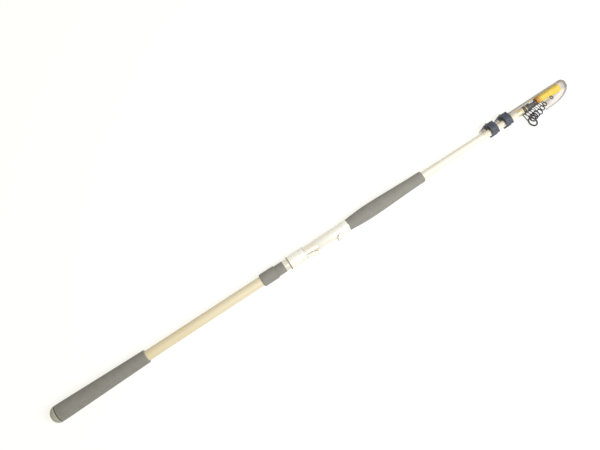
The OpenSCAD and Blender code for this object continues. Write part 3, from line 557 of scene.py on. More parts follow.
frontGrip = {"start": 648.1, "length": 172.0, "rear": 11.2, "widest": 14.0, "widestX": 49.0, "nose": 2.6,
             "front": 11.2, "round": 3.4, "riseSteps": 16, "fallSteps": 24}
g = frontGrip
gripEnd = g["start"] + g["length"]
fall = g["length"] - g["widestX"] - g["nose"]
points = [onBlank(g["start"])]
for t in spaced(0, 1, g["riseSteps"]):
    points.append((g["start"] + g["widestX"] * t, mix(g["rear"], g["widest"], math.sin(math.pi / 2 * t))))
for t in spaced(0, 1, g["fallSteps"], 1)[:-1]:
    radius = mix(g["widest"], g["front"], (1 - math.cos(math.pi * t)) / 2)
    points.append((g["start"] + g["widestX"] + fall * t, radius))
points += [(gripEnd, g["front"], g["round"]), onBlank(gripEnd)]
settle(turned("frontGrip", points, "grip"), "butt_section", "eva_foam", "front_grip")

ferrule = {"start": 1043.1, "end": 1052.1, "stands": 0.45, "bead": 0.3}
f = ferrule
settle(turned("mouthFerrule", [
    onBlank(f["start"]), (f["start"], blankRadius(f["start"]) + f["stands"], f["bead"]),
    (f["end"], blankRadius(f["end"]) + f["stands"], f["bead"]), onBlank(f["end"])], "paleGold"),
    "butt_section", "pale_gold", "mouth_ferrule")
print("handle turned")

alongRod = (0, math.pi / 2, 0)


def makeTree(name, places, lengths, surfaces):
    tree = bpy.data.node_groups.new(name, "GeometryNodeTree")
    tree.interface.new_socket("Geometry", in_out="OUTPUT", socket_type="NodeSocketGeometry")
    for kind, labels in (("Vector", places), ("Float", lengths), ("Material", surfaces)):
        for label in labels:
            tree.interface.new_socket(label, in_out="INPUT", socket_type="NodeSocket" + kind)
    return tree, tree.nodes.new("NodeGroupInput").outputs


def endTree(tree, *layers):
    # every layer is a geometry and the finish it takes
    done = []
    for geometry, finish in layers:
        real = addNode(tree, "RealizeInstances", {"Geometry": geometry})
        done.append(addNode(tree, "SetMaterial", {"Geometry": real, "Material": finish}))
    joined = addNode(tree, "JoinGeometry", {"Geometry": done})
    addNode(tree, "NodeGroupOutput", {"Geometry": joined})


def coil(tree, steps, sides, turns, radius, length, thickness, place):
    # a wire wound round the rod
    path = addNode(tree, "CurveSpiral", {
        "Resolution": steps, "Rotations": turns, "Start Radius": radius, "End Radius": radius,
        "Height": length})
    wire = addNode(tree, "CurvePrimitiveCircle", {"Resolution": sides, "Radius": thickness})
    wound = addNode(tree, "CurveToMesh", {"Curve": path, "Profile Curve": wire, "Fill Caps": True})
    return addNode(tree, "Transform", {"Geometry": wound, "Rotation": alongRod, "Translation": place})


def hoop(tree, steps, radius, wall, depth, edge, place, turn):
    # a flat band with soft edges, closed to a ring
    path = addNode(tree, "CurvePrimitiveCircle", {"Resolution": steps, "Radius": radius})
    band = addNode(tree, "CurvePrimitiveQuadrilateral", {"Width": wall, "Height": depth})
    soft = addNode(tree, "FilletCurve", {
        "Curve": band, "Count": 4, "Radius": edge, "Limit Radius": True}, mode="POLY")
    ring = addNode(tree, "CurveToMesh", {"Curve": path, "Profile Curve": soft})
    return addNode(tree, "Transform", {"Geometry": ring, "Translation": place, "Rotation": turn})


def heldAbove(tree, geometry, axis, level):
    # points below the level on one axis are brought up to it
    where = addNode(tree, "InputPosition")
    parts = addNode(tree, "ShaderNodeSeparateXYZ", {"Vector": where}).outputs
    held = addNode(tree, "ShaderNodeMath", {0: parts[axis], 1: level}, operation="MAXIMUM")
    moved = addNode(tree, "ShaderNodeCombineXYZ", {label: parts[label] for label in "XYZ" if label != axis})
    fill(moved, {axis: held})
    return addNode(tree, "SetPosition", {"Geometry": geometry, "Position": moved})


def grow(name, tree, values):
    piece = toPiece(name, bmesh.new())
    modifier = piece.modifiers.new("sizes", "NODES")
    modifier.node_group = tree
    for item in tree.interface.items_tree:
        if item.in_out == "INPUT":
            modifier[item.identifier] = values[item.name]
    applyModifiers(piece)
    bm = bmesh.new()
    bm.from_mesh(piece.data)
    weld(bm, grownWeld)
    bm.to_mesh(piece.data)
    bm.free()
    return soften(piece, hardAngle)


# reel seat
seatPipe = {"start": 505.6, "end": 648.1, "bore": 9.9, "core": 10.8, "plain": 11.2, "edge": 0.2,
            "threadEnd": 578.6, "shoulder": 0.6, "flat": 10.4, "pitch": 2.5, "crest": 0.42, "lead": 1.2,
            "runOut": 1.8, "sink": 0.06, "sides": 120}
p = seatPipe
core = turned("seatCore", [
    (p["start"], p["bore"]), (p["start"], p["core"], p["edge"]), (p["threadEnd"], p["core"]),
    (p["threadEnd"], p["bore"])], "thread", p["sides"], p["flat"])
pipe = turned("seatTube", [
    (p["threadEnd"], p["bore"]), (p["threadEnd"], p["core"]), (p["threadEnd"] + p["shoulder"], p["plain"]),
    (p["end"], p["plain"]), (p["end"], p["bore"])], "silver", p["sides"], p["flat"])

threadTree, given = makeTree(
    "seatThread", ["Place"], ["Length", "Turns", "Radius", "Ridge", "Flat"], ["Finish"])
ridge = coil(threadTree, steps=72, sides=8, turns=given["Turns"], radius=given["Radius"],
             length=given["Length"], thickness=given["Ridge"], place=given["Place"])
# the coil is milled off where the reel foot lies
endTree(threadTree, (heldAbove(threadTree, ridge, "Y", given["Flat"]), given["Finish"]))
threadStart = p["start"] + p["lead"]
threadLength = p["threadEnd"] - p["runOut"] - threadStart
thread = grow("seatThread", threadTree, {
    "Place": at(threadStart), "Length": threadLength / 1000, "Turns": threadLength / p["pitch"],
    "Radius": (p["plain"] - p["crest"]) / 1000, "Ridge": p["crest"] / 1000,
    "Flat": at(0, p["sink"] - p["flat"]).y, "Finish": finishes["thread"]})
settle(merge("seatPipe", [pipe, core, thread]), "butt_section", "seat_silver", "seat_pipe")

lockNut = {"ring": 515.5, "start": 517.0, "length": 24.8, "radius": 13.0, "crown": 0.45, "bore": 11.3,
           "edge": 0.5, "socket": 12.05, "socketDepth": 6.1, "step": 0.1, "ringEdge": 0.4, "steps": 16,
           "sides": 96}
n = lockNut
nutEnd = n["start"] + n["length"]
points = []
for t in spaced(0, 1, n["steps"]):
    radius = n["radius"] - n["crown"] * (1 - math.sin(math.pi * t))
    points.append((mix(n["start"] + gap, nutEnd, t), radius))
points[0] += (n["edge"],)
points[-1] += (n["edge"],)
points = [(n["start"] + gap, n["bore"])] + points + [
    (nutEnd, n["socket"]), (nutEnd - n["socketDepth"], n["socket"]), (nutEnd - n["socketDepth"], n["bore"])]
settle(turned("lockNut", points, "silver", n["sides"]), "nut", "seat_silver", "lock_nut")
points = sleeve(n["ring"], n["start"], n["bore"], n["radius"] + n["step"], n["ringEdge"])
settle(turned("nutRing", points, "nutTrim", n["sides"]), "nut", "trim_black", "nut_ring")

hoodLip = {"rows": 25, "cols": 32, "kneeShare": 0.55, "kneeRise": 1.2, "bevel": 0.35, "segments": 3,
           "corner": 50, "sharp": 60}


def scoop(name, spec):
    # the half-open lip of a hood, a tilted tube that is kept on the reel side only
    bm = bmesh.new()
    radius = spec["radius"]
    slope = (spec["reach"] - radius) / spec["length"]
    knee = spec["length"] * hoodLip["kneeShare"]
    kneeEdge = spec["near"] + hoodLip["kneeRise"]
    grid = []
    for d in spaced(-spec["bury"], spec["length"], hoodLip["rows"]):
        edge = mix(spec["near"], kneeEdge, smooth(d / knee))
        if d >= knee:
            edge = mix(kneeEdge, spec["far"], (d - knee) / (spec["length"] - knee))
        middle = -max(d, 0) * slope
        half = math.acos(max(-1, min(1, (edge + middle) / radius)))
        x = spec["root"] + spec["way"] * d
        grid.append([bm.verts.new(at(x, middle - radius * math.cos(angle), radius * math.sin(angle)))
                     for angle in spaced(-half, half, hoodLip["cols"])])
    skin(bm, grid, False, spec["way"] > 0)
    bm.normal_update()
    lip = toPiece(name, bm, finishes["silver"])
    walled(lip, spec["wall"], hoodLip["bevel"], hoodLip["segments"], hoodLip["corner"])
    return soften(lip, hoodLip["sharp"])


movingHood = {"sleeveStart": 535.9, "start": 541.9, "end": 551.9, "bore": 11.3, "sleeve": 11.95,
              "ring": 12.9, "edge": 0.4, "bevel": 0.8, "boreEdge": 0.2, "sides": 96}
# painted shade: a thin grey band at the hood's front end stands for the dark line where the ring meets the
# thread
hoodShadeBand = {"start": 550.6, "end": 551.3, "depth": 0.5, "stands": 0.03, "edge": 0.05}
h = movingHood
ring = turned("hoodRing", [
    (h["sleeveStart"], h["bore"]), (h["sleeveStart"], h["sleeve"]), (h["start"], h["sleeve"]),
    (h["start"], h["ring"], h["edge"]), (h["end"], h["ring"], h["bevel"]),
    (h["end"], h["bore"], h["boreEdge"])], "silver", h["sides"])
v = hoodShadeBand
points = sleeve(v["start"], v["end"], h["ring"] - v["depth"], h["ring"] + v["stands"], v["edge"])
shadeBand = turned("hoodShadeBand", points, "nutTrim", h["sides"])
lip = scoop("hoodLip", {"root": h["end"], "way": 1, "length": 23.3, "radius": 12.95, "reach": 17.8,
                        "wall": 1.3, "near": 6.5, "far": 13.0, "bury": 1.0})
settle(merge("movingHood", [ring, shadeBand, lip]), "hood", "seat_silver", "moving_hood")

fixedHood = {"body": 634.6, "end": 648.05, "bore": 11.25, "ring": 11.9, "taper": 6.0, "front": 11.5,
             "edge": 0.3, "bend": 1.2, "sides": 96}
h = fixedHood
ring = turned("frontHoodRing", [
    (h["body"], h["bore"]), (h["body"], h["ring"], h["edge"]), (h["end"] - h["taper"], h["ring"], h["bend"]),
    (h["end"], h["front"], h["edge"]), (h["end"], h["bore"])], "silver", h["sides"])
lip = scoop("frontHoodLip", {"root": 635.6, "way": -1, "length": 17.0, "radius": 12.85, "reach": 17.8,
                             "wall": 1.3, "near": 5.0, "far": 12.0, "bury": 0.8})
settle(merge("fixedHood", [ring, lip]), "butt_section", "seat_silver", "fixed_hood")
print("reel seat made")

# inner sections, each a tapered tube from the foot in the butt to its own mouth; the tip is solid
sections = {"secondBlank": "second", "thirdBlank": "third", "tipBlank": "tip"}
sectionShape = {"edge": 0.3, "endSlice": 0.1, "solidBelow": 0.5, "sides": 48}
d = sectionShape
for name, label in sections.items():
    rear, front = endsOf(label + "_blank")
    vertices = nodes[label + "_blank"].data.vertices
    rearSpans = [offAxis(v) for v in vertices if v.co.x < at(rear + d["endSlice"]).x]
    frontSpans = [offAxis(v) for v in vertices if v.co.x > at(front - d["endSlice"]).x]
    rearBore, frontBore = min(rearSpans), min(frontSpans)
    if frontBore < d["solidBelow"]:
        rearBore = frontBore = 0
    piece = turned(name, [
        (rear, rearBore), (rear, max(rearSpans), d["edge"]), (front, max(frontSpans), d["edge"]),
        (front, frontBore)], "innerBlank", d["sides"])
    settle(piece, label + "_section", "blank_lacquer", label + "_blank")
print("inner sections turned:", len(sections))

# line guides: one rule for the eight frames and their hard rings, and what is different on each
guideShape = {"lean": 14.0, "turn": 18.0, "spread": 48.0, "ringDepth": 2.0, "ringEdge": 0.4,
              "seatShare": 0.41, "legShare": 0.42, "bow": 0.4, "wire": 0.7, "foot": 1.1, "stand": 0.77,
              "footInset": 0.3, "collarRoom": 0.1, "collarEdge": 0.5, "wrapInset": 0.7, "wrapPitch": 0.62,
              "wrapThread": 0.28, "hardShare": 0.06, "hardDepth": 1.2, "finish": "collar"}
guides = {
    "stripper": {"body": "second_section", "collar": 1052.4, "length": 4.4, "leg": 1053.72, "reach": 38.8,
                 "od": 21.2, "wire": 1.0, "finish": "paleCollar"},
    "third_guide_1": {"collar": 1057.15, "length": 5.4, "leg": 1059.58, "reach": 30.4, "od": 16.4},
    "third_guide_2": {"collar": 1062.9, "length": 5.4, "leg": 1065.33, "reach": 28.6, "od": 15.4},
    "third_guide_3": {"body": "third_section", "collar": 1068.65, "length": 5.4, "leg": 1071.08,
                      "reach": 26.8, "od": 14.4},
    "tip_guide_1": {"collar": 1074.4, "length": 8.0, "leg": 1079.2, "reach": 26.0, "od": 12.6},
    "tip_guide_2": {"collar": 1083.8, "length": 8.0, "leg": 1088.6, "reach": 21.6, "od": 11.2},
    "tip_guide_3": {"collar": 1093.2, "length": 8.0, "leg": 1098.0, "reach": 17.2, "od": 9.8},
    "tip_top": {"body": "tip_section", "collar": 1106.1, "length": 14.0, "leg": 1118.0, "reach": 12.7,
                "od": 7.4, "foot": 0.2, "stand": -0.3},
}

legMarks = ["Root ", "Bow ", "Top ", "Heel ", "Toe "]
frameTree, given = makeTree(
    "guideFrame",
    ["Centre", "Turn", "Collar place", "Wrap place"] + [mark + side for side in "ab" for mark in legMarks],
    ["Ring radius", "Ring wall", "Ring depth", "Ring edge", "Foot radius", "Wire radius", "Collar length",
     "Collar radius", "Collar wall", "Collar edge", "Wrap length", "Wraps", "Wrap radius", "Wrap thread"],
    ["Wire finish", "Collar finish"])
wires = [hoop(frameTree, steps=72, radius=given["Ring radius"], wall=given["Ring wall"],
              depth=given["Ring depth"], edge=given["Ring edge"], place=given["Centre"], turn=given["Turn"])]
wire = addNode(frameTree, "CurvePrimitiveCircle", {"Resolution": 14, "Radius": given["Wire radius"]})
sole = addNode(frameTree, "CurvePrimitiveCircle", {"Resolution": 16, "Radius": given["Foot radius"]})
for side in "ab":
    leg = addNode(frameTree, "CurveQuadraticBezier", {
        "Resolution": 14, "Start": given["Root " + side], "Middle": given["Bow " + side],
        "End": given["Top " + side]})
    foot = addNode(frameTree, "CurvePrimitiveLine", {
        "Start": given["Heel " + side], "End": given["Toe " + side]})
    for path, profile in ((leg, wire), (foot, sole)):
        wires.append(addNode(frameTree, "CurveToMesh", {
            "Curve": path, "Profile Curve": profile, "Fill Caps": True}))
collar = hoop(frameTree, steps=64, radius=given["Collar radius"], wall=given["Collar wall"],
              depth=given["Collar length"], edge=given["Collar edge"], place=given["Collar place"],
              turn=alongRod)
lashing = coil(frameTree, steps=40, sides=6, turns=given["Wraps"], radius=given["Wrap radius"],
               length=given["Wrap length"], thickness=given["Wrap thread"], place=given["Wrap place"])
bare = addNode(frameTree, "JoinGeometry", {"Geometry": wires})
bound = addNode(frameTree, "JoinGeometry", {"Geometry": [collar, lashing]})
endTree(frameTree, (bare, given["Wire finish"]), (bound, given["Collar finish"]))

ringTree, given = makeTree("guideRing", ["Centre", "Turn", "Section"], ["Radius"], ["Finish"])
path = addNode(ringTree, "CurvePrimitiveCircle", {"Resolution": 72, "Radius": given["Radius"]})
bead = addNode(ringTree, "CurvePrimitiveCircle", {"Resolution": 16, "Radius": 1.0})
oval = addNode(ringTree, "Transform", {"Geometry": bead, "Scale": given["Section"]})
torus = addNode(ringTree, "CurveToMesh", {"Curve": path, "Profile Curve": oval})
stood = addNode(ringTree, "Transform", {
    "Geometry": torus, "Translation": given["Centre"], "Rotation": given["Turn"]})
endTree(ringTree, (stood, given["Finish"]))

lean, swing, spread = (math.radians(guideShape[angle]) for angle in ("lean", "turn", "spread"))
leanWay = Vector((math.sin(lean) * math.cos(swing), -math.cos(lean), -math.sin(lean) * math.sin(swing)))
sideWay = Vector((math.sin(swing), 0, math.cos(swing)))
stance = Matrix.Rotation(swing, 4, "Y") @ Matrix.Rotation(lean, 4, "Z")
stance = Vector((stance @ Matrix.Rotation(math.pi / 2, 4, "Y")).to_euler())
for name, ownSizes in guides.items():
    g = {**guideShape, "body": name, **ownSizes}
    frameNode = name + "_frame"
    rearFace = at(g["collar"] + gap).x
    spans = [offAxis(v) for v in nodes[frameNode].data.vertices if v.co.x < rearFace]
    bore, outside = min(spans), max(spans)
    seat = g["od"] * g["seatShare"]
    middle = (g["od"] / 2 + seat) / 2
    ringY = g["reach"] - g["od"] / 2 * math.cos(lean)
    centre = Vector((g["leg"] + ringY * math.tan(lean), -ringY, 0))
    legZ = min(outside * g["legShare"], middle / 2)
    footY = -math.sqrt(outside ** 2 - legZ ** 2) - g["stand"]
    heelX, toeX = g["collar"] + g["footInset"], g["collar"] + g["length"] - g["footInset"]
    wrapLength = g["length"] - 2 * g["wrapInset"]
    lengths = {
        "Ring radius": middle, "Ring wall": g["od"] / 2 - seat, "Ring depth": g["ringDepth"],
        "Ring edge": g["ringEdge"], "Wire radius": g["wire"], "Foot radius": g["foot"],
        "Collar length": g["length"], "Collar radius": (outside + bore) / 2,
        "Collar wall": outside - bore - g["collarRoom"], "Collar edge": g["collarEdge"],
        "Wrap length": wrapLength, "Wrap radius": outside - g["wrapThread"], "Wrap thread": g["wrapThread"]}
    sizes = {label: length / 1000 for label, length in lengths.items()}
    for side, label in ((-1, "a"), (1, "b")):
        root = Vector((g["leg"], -(outside + bore) / 2, side * legZ))
        top = centre - leanWay * middle * math.cos(spread) + sideWay * side * middle * math.sin(spread)
        bow = (root + top) / 2 - leanWay * g["bow"]
        heel, toe = (heelX, footY, side * legZ), (toeX, footY, side * legZ)
        for mark, spot in zip(legMarks, (root, bow, top, heel, toe)):
            sizes[mark + label] = at(*spot)
    sizes.update({
        "Centre": at(*centre), "Turn": stance, "Collar place": at(g["collar"] + g["length"] / 2),
        "Wrap place": at(g["collar"] + g["wrapInset"]), "Wraps": wrapLength / g["wrapPitch"],
        "Wire finish": finishes["guide"], "Collar finish": finishes[g["finish"]]})
    settle(grow(name + "Frame", frameTree, sizes), g["body"], "guide_metal", frameNode)
    hardWall = g["od"] * g["hardShare"]
    sizes = {"Centre": sizes["Centre"], "Turn": sizes["Turn"], "Radius": (seat - gap - hardWall / 2) / 1000,
             "Section": (hardWall / 2000, g["hardDepth"] / 1000, 1.0), "Finish": finishes["ceramic"]}
    settle(grow(name + "Ring", ringTree, sizes), g["body"], "guide_ceramic", name + "_ring")
collarBand = {"edge": 0.2}
points = sleeve(*endsOf("third_guide_2_band"), *radii("third_guide_2_band"), collarBand["edge"])
settle(turned("collarBand", points, "paleGold"), "third_guide_2", "pale_gold", "third_guide_2_band")
print("guides grown:", len(guides))

# travel cover over the tip
cover = {"start": 963.1, "end": 1160.1, "rise": 2.2, "radius": 10.3, "wall": 1.3, "edge": 6.2,
         "finStart": 1096.6, "slant": 3.0, "finGap": 0.6, "flatEnd": 1112.6, "depth": 26.0, "halfWidth": 8.8,
         "sideShare": 0.85, "corner": 4.0, "cornerShare": 0.6, "bendShare": 0.6, "inside": 1030,
         "tiny": 0.02, "bevel": 0.4, "segments": 2, "sharp": 60, "channelSteps": 30, "slantSteps": 6,
         "flatSteps": 8, "domeSteps": 14, "arcSteps": 22, "wallSteps": 8, "floorSteps": 8}
c = cover
domeX = c["end"] - c["radius"]
slantEnd = c["finStart"] + c["slant"]
stations = spaced(c["start"], c["finStart"], c["channelSteps"])
stations += spaced(c["finStart"], slantEnd, c["slantSteps"], 1)
stations += spaced(slantEnd + c["finGap"], c["flatEnd"], c["flatSteps"])
stations += spaced(c["flatEnd"], domeX, c["domeSteps"], 1)
stations += [domeX + c["radius"] * math.sin(math.pi / 2 * t) for t in spaced(0, 1, c["domeSteps"], 1)[:-1]]
stations.append(c["end"] - c["tiny"] / 2)


def coverHalf(x):
    # half of the wall at x, from the back round to the open edge or to the middle of the bulge
    radius, depth = c["radius"], c["depth"]
    if x > domeX:
        radius = max(math.sqrt(max(radius ** 2 - (x - domeX) ** 2, 0)), c["tiny"])
    halfWidth = min(c["halfWidth"], radius * c["sideShare"])
    if x > c["flatEnd"]:
        share = min((x - c["flatEnd"]) / (c["end"] - c["flatEnd"]), 1)
        depth = max(c["depth"] * math.sqrt(1 - share ** 2), radius)
    joint = -math.sqrt(radius ** 2 - halfWidth ** 2)
    stop = None
    if x <= c["finStart"] + 1e-6:
        stop = -c["edge"]
    elif x <= slantEnd + 1e-6:
        stop = -mix(c["edge"], c["depth"], (x - c["finStart"]) / c["slant"])
    arcEnd = joint if stop is None else max(stop, joint)
    full = math.acos(max(-1, min(1, arcEnd / radius)))
    arc = spaced(0, full, c["arcSteps"])
    path = [(radius * math.cos(angle), radius * math.sin(angle)) for angle in arc]
    corner = min(c["corner"], halfWidth * c["cornerShare"], max((depth + joint) / 2, 0.001))
    wallEnd = -(depth - corner)
    if stop is not None:
        wallEnd = min(max(stop, wallEnd), joint)
    hasWall = stop is None or stop < joint
    for y in spaced(joint, wallEnd, c["wallSteps"], 1):
        path.append((y, halfWidth) if hasWall else (arcEnd, path[-1][1]))
    for t in spaced(0, 1, c["floorSteps"], 1):
        if stop is not None:
            path.append(path[-1])
        elif t <= c["bendShare"]:
            angle = math.pi / 2 * t / c["bendShare"]
            path.append((wallEnd - corner * math.sin(angle), halfWidth - corner * (1 - math.cos(angle))))
        else:
            path.append((-depth, (halfWidth - corner) * (1 - t) / (1 - c["bendShare"])))
    return path


bm = bmesh.new()
grid = []
for x in stations:
    half = coverHalf(x)
    loop = [(y, -z) for y, z in half[::-1]] + half[1:]
    grid.append([bm.verts.new(at(x, y + c["rise"], z)) for y, z in loop])
skin(bm, grid, False)
shell = finishMesh("tipCover", bm, "vinyl", c["sharp"])
bm = bmesh.new()
bm.from_mesh(shell.data)
bmesh.ops.dissolve_degenerate(bm, edges=bm.edges, dist=1e-5)
outward = sum(f.normal.dot(f.calc_center_median() - at(c["inside"])) for f in bm.faces)
if outward < 0:
    bmesh.ops.reverse_faces(bm, faces=bm.faces)
bm.to_mesh(shell.data)
bm.free()
walled(shell, c["wall"], c["bevel"], c["segments"], c["sharp"])
settle(shell, "cover", "cover_clear", "tip_cover")
print("cover shell:", len(shell.data.polygons), "faces")


def boxLoop(x0, x1, r0, r1, corner):
    # rounded rectangle in the plane of the axis and a radius
    loop = []
    corner = min(corner, (x1 - x0) * roundShare, (r1 - r0) * roundShare)
    left, right, low, high = x0 + corner, x1 - corner, r0 + corner, r1 - corner
    for cx, cr, first in ((right, high, 0), (left, high, 90), (left, low, 180), (right, low, 270)):
        for degrees in spaced(first, first + 90, 4):
            angle = math.radians(degrees)
            loop.append((cx + corner * math.cos(angle), cr + corner * math.sin(angle)))
    return loop


def bent(name, rows, finish):
    # skins a row of closed loops of points, and closes both ends
    bm = bmesh.new()
    rings = [[bm.verts.new(point) for point in row] for row in rows]
    skin(bm, rings)
    bm.faces.new(rings[0])
    bm.faces.new(rings[-1][::-1])
    return finishMesh(name, bm, finish, 50)


# straps: angles are in radians from the middle of the block, and the end lists round off the lips
strap = {"first": 978.3, "pitch": 32.9, "width": 15.6, "lead": 3.0, "leadRun": 0.55, "inner": 10.35,
         "outer": 13.1, "back": 14.6, "block": 5.5, "blockRun": 0.1, "gap": 6.6, "short": 0.03,
         "corner": 0.8, "leastCorner": 0.1, "flare": 1.1, "flareFrom": 1.75, "lipOut": 1.8, "lipIn": 0.9,
         "lipFrom": 0.34, "lipRun": 0.3, "waist": 0.6, "steps": 84, "endTurn": [0, 0.035, 0.05],
         "endShrink": [0, 0.35, 0.95], "rivetX": 3.7}
strapTail = {"length": 12.6, "overlap": 1.5, "half": 3.85, "tipShare": 0.55, "widen": 2.2, "tip": 0.4,
             "under": 0.25, "corner": 0.6, "steps": 18}
s = strap
wrap = math.pi - math.asin(s["gap"] / ((s["inner"] + s["outer"]) / 2)) - s["short"]


def strapLoop(x, angle, shrink):
    # the rear edge runs back to the block and to the lips, and the sides draw in between them
    size = abs(angle)
    lip = smooth((size - (wrap - s["lipFrom"])) / s["lipRun"])
    outside = s["outer"] + s["lipOut"] * lip
    blockEnd = math.atan(s["block"] / s["back"])
    past = size - blockEnd
    if past < 0:
        outside = s["back"] / math.cos(size)
    elif past < s["blockRun"]:
        outside = mix(s["back"] / math.cos(blockEnd), s["outer"], smooth(past / s["blockRun"]))
    inside = s["inner"] + lip * s["lipIn"]
    flare = smooth((size - s["flareFrom"]) / (wrap - s["flareFrom"])) ** 2
    rear = x - s["lead"] * (1 - smooth(past / s["leadRun"])) - s["flare"] * flare
    rear += s["waist"] * math.sin(math.pi * min(max(past / (wrap - blockEnd), 0), 1))
    corner = max(s["corner"] - shrink, s["leastCorner"])
    loop = boxLoop(rear + shrink, x + s["width"] - shrink, inside + shrink, outside - shrink, corner)
    return [at(px, cover["rise"] + r * math.cos(angle), r * math.sin(angle)) for px, r in loop]


for i, name in enumerate(("rear", "front")):
    x = s["first"] + s["pitch"] * i
    rows = []
    endRows = len(s["endTurn"]) - 1
    for k in range(-endRows, s["steps"] + endRows + 1):
        t = min(max(k, 0), s["steps"]) / s["steps"]
        spare = max(-k, k - s["steps"], 0)
        angle = wrap * (2 * t - 1) + math.copysign(s["endTurn"][spare], t - 0.5)
        rows.append(strapLoop(x, angle, s["endShrink"][spare]))
    band = bent(name + "Band", rows, "strap")
    q = strapTail
    rows = []
    for t in spaced(0, 1, q["steps"]):
        px = mix(x - q["length"], x - s["lead"] + q["overlap"], t)
        top = mix(s["inner"] + q["tip"], s["back"] - q["under"], t)
        half = mix(q["half"] * q["tipShare"], q["half"], smooth(t * q["widen"]))
        loop = boxLoop(-half, half, s["inner"], top, q["corner"])
        rows.append([at(px, y + cover["rise"], z) for z, y in loop])
    tail = bent(name + "Tail", rows, "strap")
    settle(merge(name + "Strap", [band, tail]), "cover", "strap_rubber", name + "_strap")

# pads fill the space between blank and cover, so they are thick at the back and thin at the sides
padShape = {"inner": radii("cover_pads")[0], "outer": 8.93, "edge": 1.0, "inset": 0.6, "corner": 0.35,
            "steps": 40}
d = padShape
innerEnd = math.acos(-d["edge"] / d["inner"])
outerEnd = math.acos(-(d["edge"] + cover["rise"]) / d["outer"])
pads = []
for i in range(2):
    x = s["first"] + s["pitch"] * i
    rows = []
    for t in spaced(-1, 1, d["steps"]):
        low = Vector((math.cos(innerEnd * t), math.sin(innerEnd * t))) * d["inner"]
        high = Vector((math.cos(outerEnd * t), math.sin(outerEnd * t))) * d["outer"]
        high.x += cover["rise"]
        up = (high - low).normalized()
        loop = boxLoop(x + d["inset"], x + s["width"] - d["inset"], 0, (high - low).length, d["corner"])
        rows.append([at(px, *(low + up * height)) for px, height in loop])
    pads.append(bent("pad", rows, "pad"))
settle(merge("coverPads", pads), "cover", "strap_rubber", "cover_pads")

rivet = {"head": 2.5, "height": 2.6, "shank": 1.2, "shankRoom": 0.1}
r = rivet
rivetTree, given = makeTree(
    "strapRivets", ["First", "Pitch", "Head", "Shank middle"], ["Shank radius", "Shank length"], ["Finish"])
row = addNode(rivetTree, "MeshLine", {
    "Count": 2, "Start Location": given["First"], "Offset": given["Pitch"]}, mode="OFFSET")
ball = addNode(rivetTree, "MeshUVSphere", {"Segments": 32, "Rings": 20, "Radius": 1.0})
head = addNode(rivetTree, "Transform", {
    "Geometry": heldAbove(rivetTree, ball, "Z", 0.0), "Scale": given["Head"]})
pin = addNode(rivetTree, "MeshCylinder", {
    "Vertices": 24, "Radius": given["Shank radius"], "Depth": given["Shank length"]})
sunk = addNode(rivetTree, "Transform", {"Geometry": pin, "Translation": given["Shank middle"]})
oneRivet = addNode(rivetTree, "JoinGeometry", {"Geometry": [head, sunk]})
laid = addNode(rivetTree, "Transform", {"Geometry": oneRivet, "Rotation": (-math.pi / 2, 0, 0)})
placed = addNode(rivetTree, "InstanceOnPoints", {"Points": row, "Instance": laid})
endTree(rivetTree, (placed, given["Finish"]))
rivetSeat = s["back"] + cover["rise"]
shankLength = (rivetSeat - padShape["inner"] - r["shankRoom"]) / 1000
rivets = grow("strapRivets", rivetTree, {
    "First": at(s["first"] + s["rivetX"], rivetSeat + gap), "Pitch": (s["pitch"] / 1000, 0, 0),
    "Head": (r["head"] / 1000, r["head"] / 1000, (r["height"] - gap) / 1000),
    "Shank radius": r["shank"] / 1000, "Shank length": shankLength, "Shank middle": (0, 0, -shankLength / 2),
    "Finish": finishes["brass"]})
settle(rivets, "cover", "rivet_brass", "strap_rivets")

# foam sleeve that holds the tip, open on the guide side; it fills the cover and is deeper at the front
tipFoam = {"start": 1088.6, "length": 54.5, "radius": 9.1, "slot": 5.0, "slotRound": 0.8, "edge": 5.6,
           "frontEdge": 8.4, "slope": 0.62, "side": 7.15, "coverBore": 8.65, "skin": 0.15, "round": 1.4,
           "roundShare": 0.6, "soft": 0.22, "softIn": 0.1, "softAlong": 0.09, "softAcross": 0.16,
           "steps": 46, "backSteps": 44, "slotSteps": 16, "wallSteps": 6}
f = tipFoam


def foamLoop(share, shrink):
    edge = mix(f["edge"], f["frontEdge"], max(share - f["slope"], 0) / (1 - f["slope"])) - shrink
    outer, inner = f["radius"] - shrink, f["slot"] + min(shrink, f["slotRound"])
    outEnd = math.acos(-edge / outer)
    loop = []
    for angle in spaced(outEnd, -outEnd, f["backSteps"]):
        y, z = outer * math.cos(angle), abs(outer * math.sin(angle))
        bore = math.sqrt(max((f["coverBore"] - shrink) ** 2 - (y - cover["rise"]) ** 2, 0))
        z = min(z, bore) if y >= 0 else max(min(z, max(bore, f["side"] - shrink)), inner + gap)
        loop.append((y, math.copysign(z, angle)))
    loop += [(y, -inner) for y in spaced(-edge, 0, f["wallSteps"])]
    for angle in spaced(0, math.pi, f["slotSteps"], 1)[:-1]:
        loop.append((inner * math.sin(angle), -inner * math.cos(angle)))
    loop += [(y, inner) for y in spaced(0, -edge, f["wallSteps"])]
    return loop


rows = []
for t in spaced(0, 1, f["steps"]):
    x = f["start"] + f["length"] * t
    near = min(x - f["start"], f["start"] + f["length"] - x)
    shrink = f["skin"]
    if near < f["round"]:
        shrink += f["round"] * (1 - math.sqrt(1 - (1 - near / f["round"]) ** 2)) * f["roundShare"]
    row = []
    for y, z in foamLoop(t, shrink):
        place = Vector((x * f["softAlong"], y * f["softAcross"], z * f["softAcross"]))
        soft = 1 + (f["soft"] * noise.noise(place) - f["softIn"]) / math.hypot(y, z)
        row.append(at(x, y * soft, z * soft))
    rows.append(row)
foam = bent("tipFoam", rows, "foam")
settle(foam, "cover", "foam_yellow", "tip_foam")
print("travel cover made")

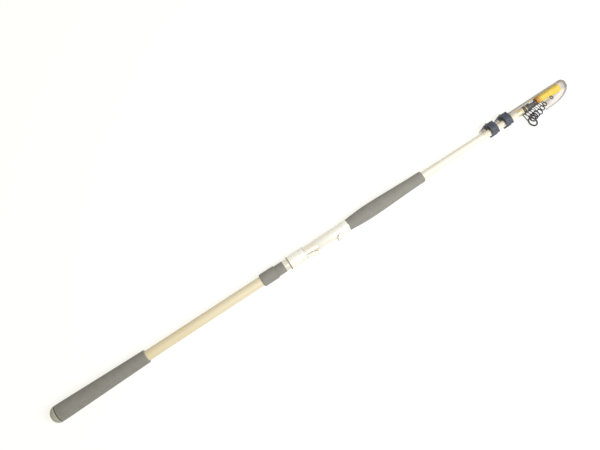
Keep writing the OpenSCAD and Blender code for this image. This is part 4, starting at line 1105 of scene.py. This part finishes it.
# what stays as CAD is inside the handle
for node in ("butt_plug", "thread_insert", "seat_arbors"):
    slots = nodes[node].data.materials
    if not len(slots):
        slots.append(finishes["plug"])
    for i in range(len(slots)):
        slots[i] = finishes["plug"]

# floor and light
studio = {"floor": 14.0, "floorDrop": 0.0004, "floorTone": "#F4F4F2", "floorWhite": 0.82,
          "whiteTone": (1.0, 0.98, 0.91, 1.0), "floorShade": "#90949F", "ambient": 0.41,
          "ambientTone": (1.0, 0.95, 0.83, 1.0), "key": 22.5, "keySize": 1.0, "keyFrom": (0.65, -0.62, 1.45)}


def seenRay(tree):
    # rays that show the stage, straight, mirrored or through a clear piece, and not those that light the rod
    rays = addNode(tree, "LightPath").outputs
    seen = addNode(tree, "Math", {0: rays["Is Camera Ray"], 1: rays["Is Glossy Ray"]}, operation="MAXIMUM")
    return addNode(tree, "Math", {0: seen, 1: rays["Is Transmission Ray"]}, operation="MAXIMUM")


floorMaterial = bpy.data.materials.new("paleFloor")
floorMaterial.use_nodes = True
tree = floorMaterial.node_tree
tree.nodes.remove(tree.nodes["Principled BSDF"])
plain = addNode(tree, "BsdfDiffuse", {"Color": paint(studio["floorTone"])})
shaded = addNode(tree, "BsdfDiffuse", {"Color": paint(studio["floorShade"])})
white = addNode(tree, "Emission", {"Color": studio["whiteTone"], "Strength": studio["floorWhite"]})
shown = addNode(tree, "AddShader", {0: shaded, 1: white})
blend = addNode(tree, "MixShader", {0: seenRay(tree), 1: plain, 2: shown})
fill(tree.nodes["Material Output"], {"Surface": blend})
bm = bmesh.new()
for x, y in ((-1, -1), (1, -1), (1, 1), (-1, 1)):
    bm.verts.new((x * studio["floor"], y * studio["floor"], -studio["floorDrop"]))
bm.faces.new(bm.verts)
floor = toPiece("floor", bm, floorMaterial)

world = bpy.data.worlds.new("studio")
scene.world = world
world.use_nodes = True
tree = world.node_tree
seen = seenRay(tree)
level = addNode(tree, "MapRange", {"Value": seen, "To Min": studio["ambient"], "To Max": 1.0})
tint = addNode(tree, "Mix", {0: seen, 6: studio["ambientTone"], 7: (1, 1, 1, 1)}, data_type="RGBA")
fill(tree.nodes["Background"], {"Color": tint, "Strength": level})
lamp = bpy.data.lights.new("key", "AREA")
lamp.energy = studio["key"]
lamp.size = studio["keySize"]
holder = bpy.data.objects.new("key", lamp)
holder.location = studio["keyFrom"]
holder.rotation_euler = (-Vector(studio["keyFrom"])).to_track_quat("-Z", "Y").to_euler()
scene.collection.objects.link(holder)
print("stage lit")
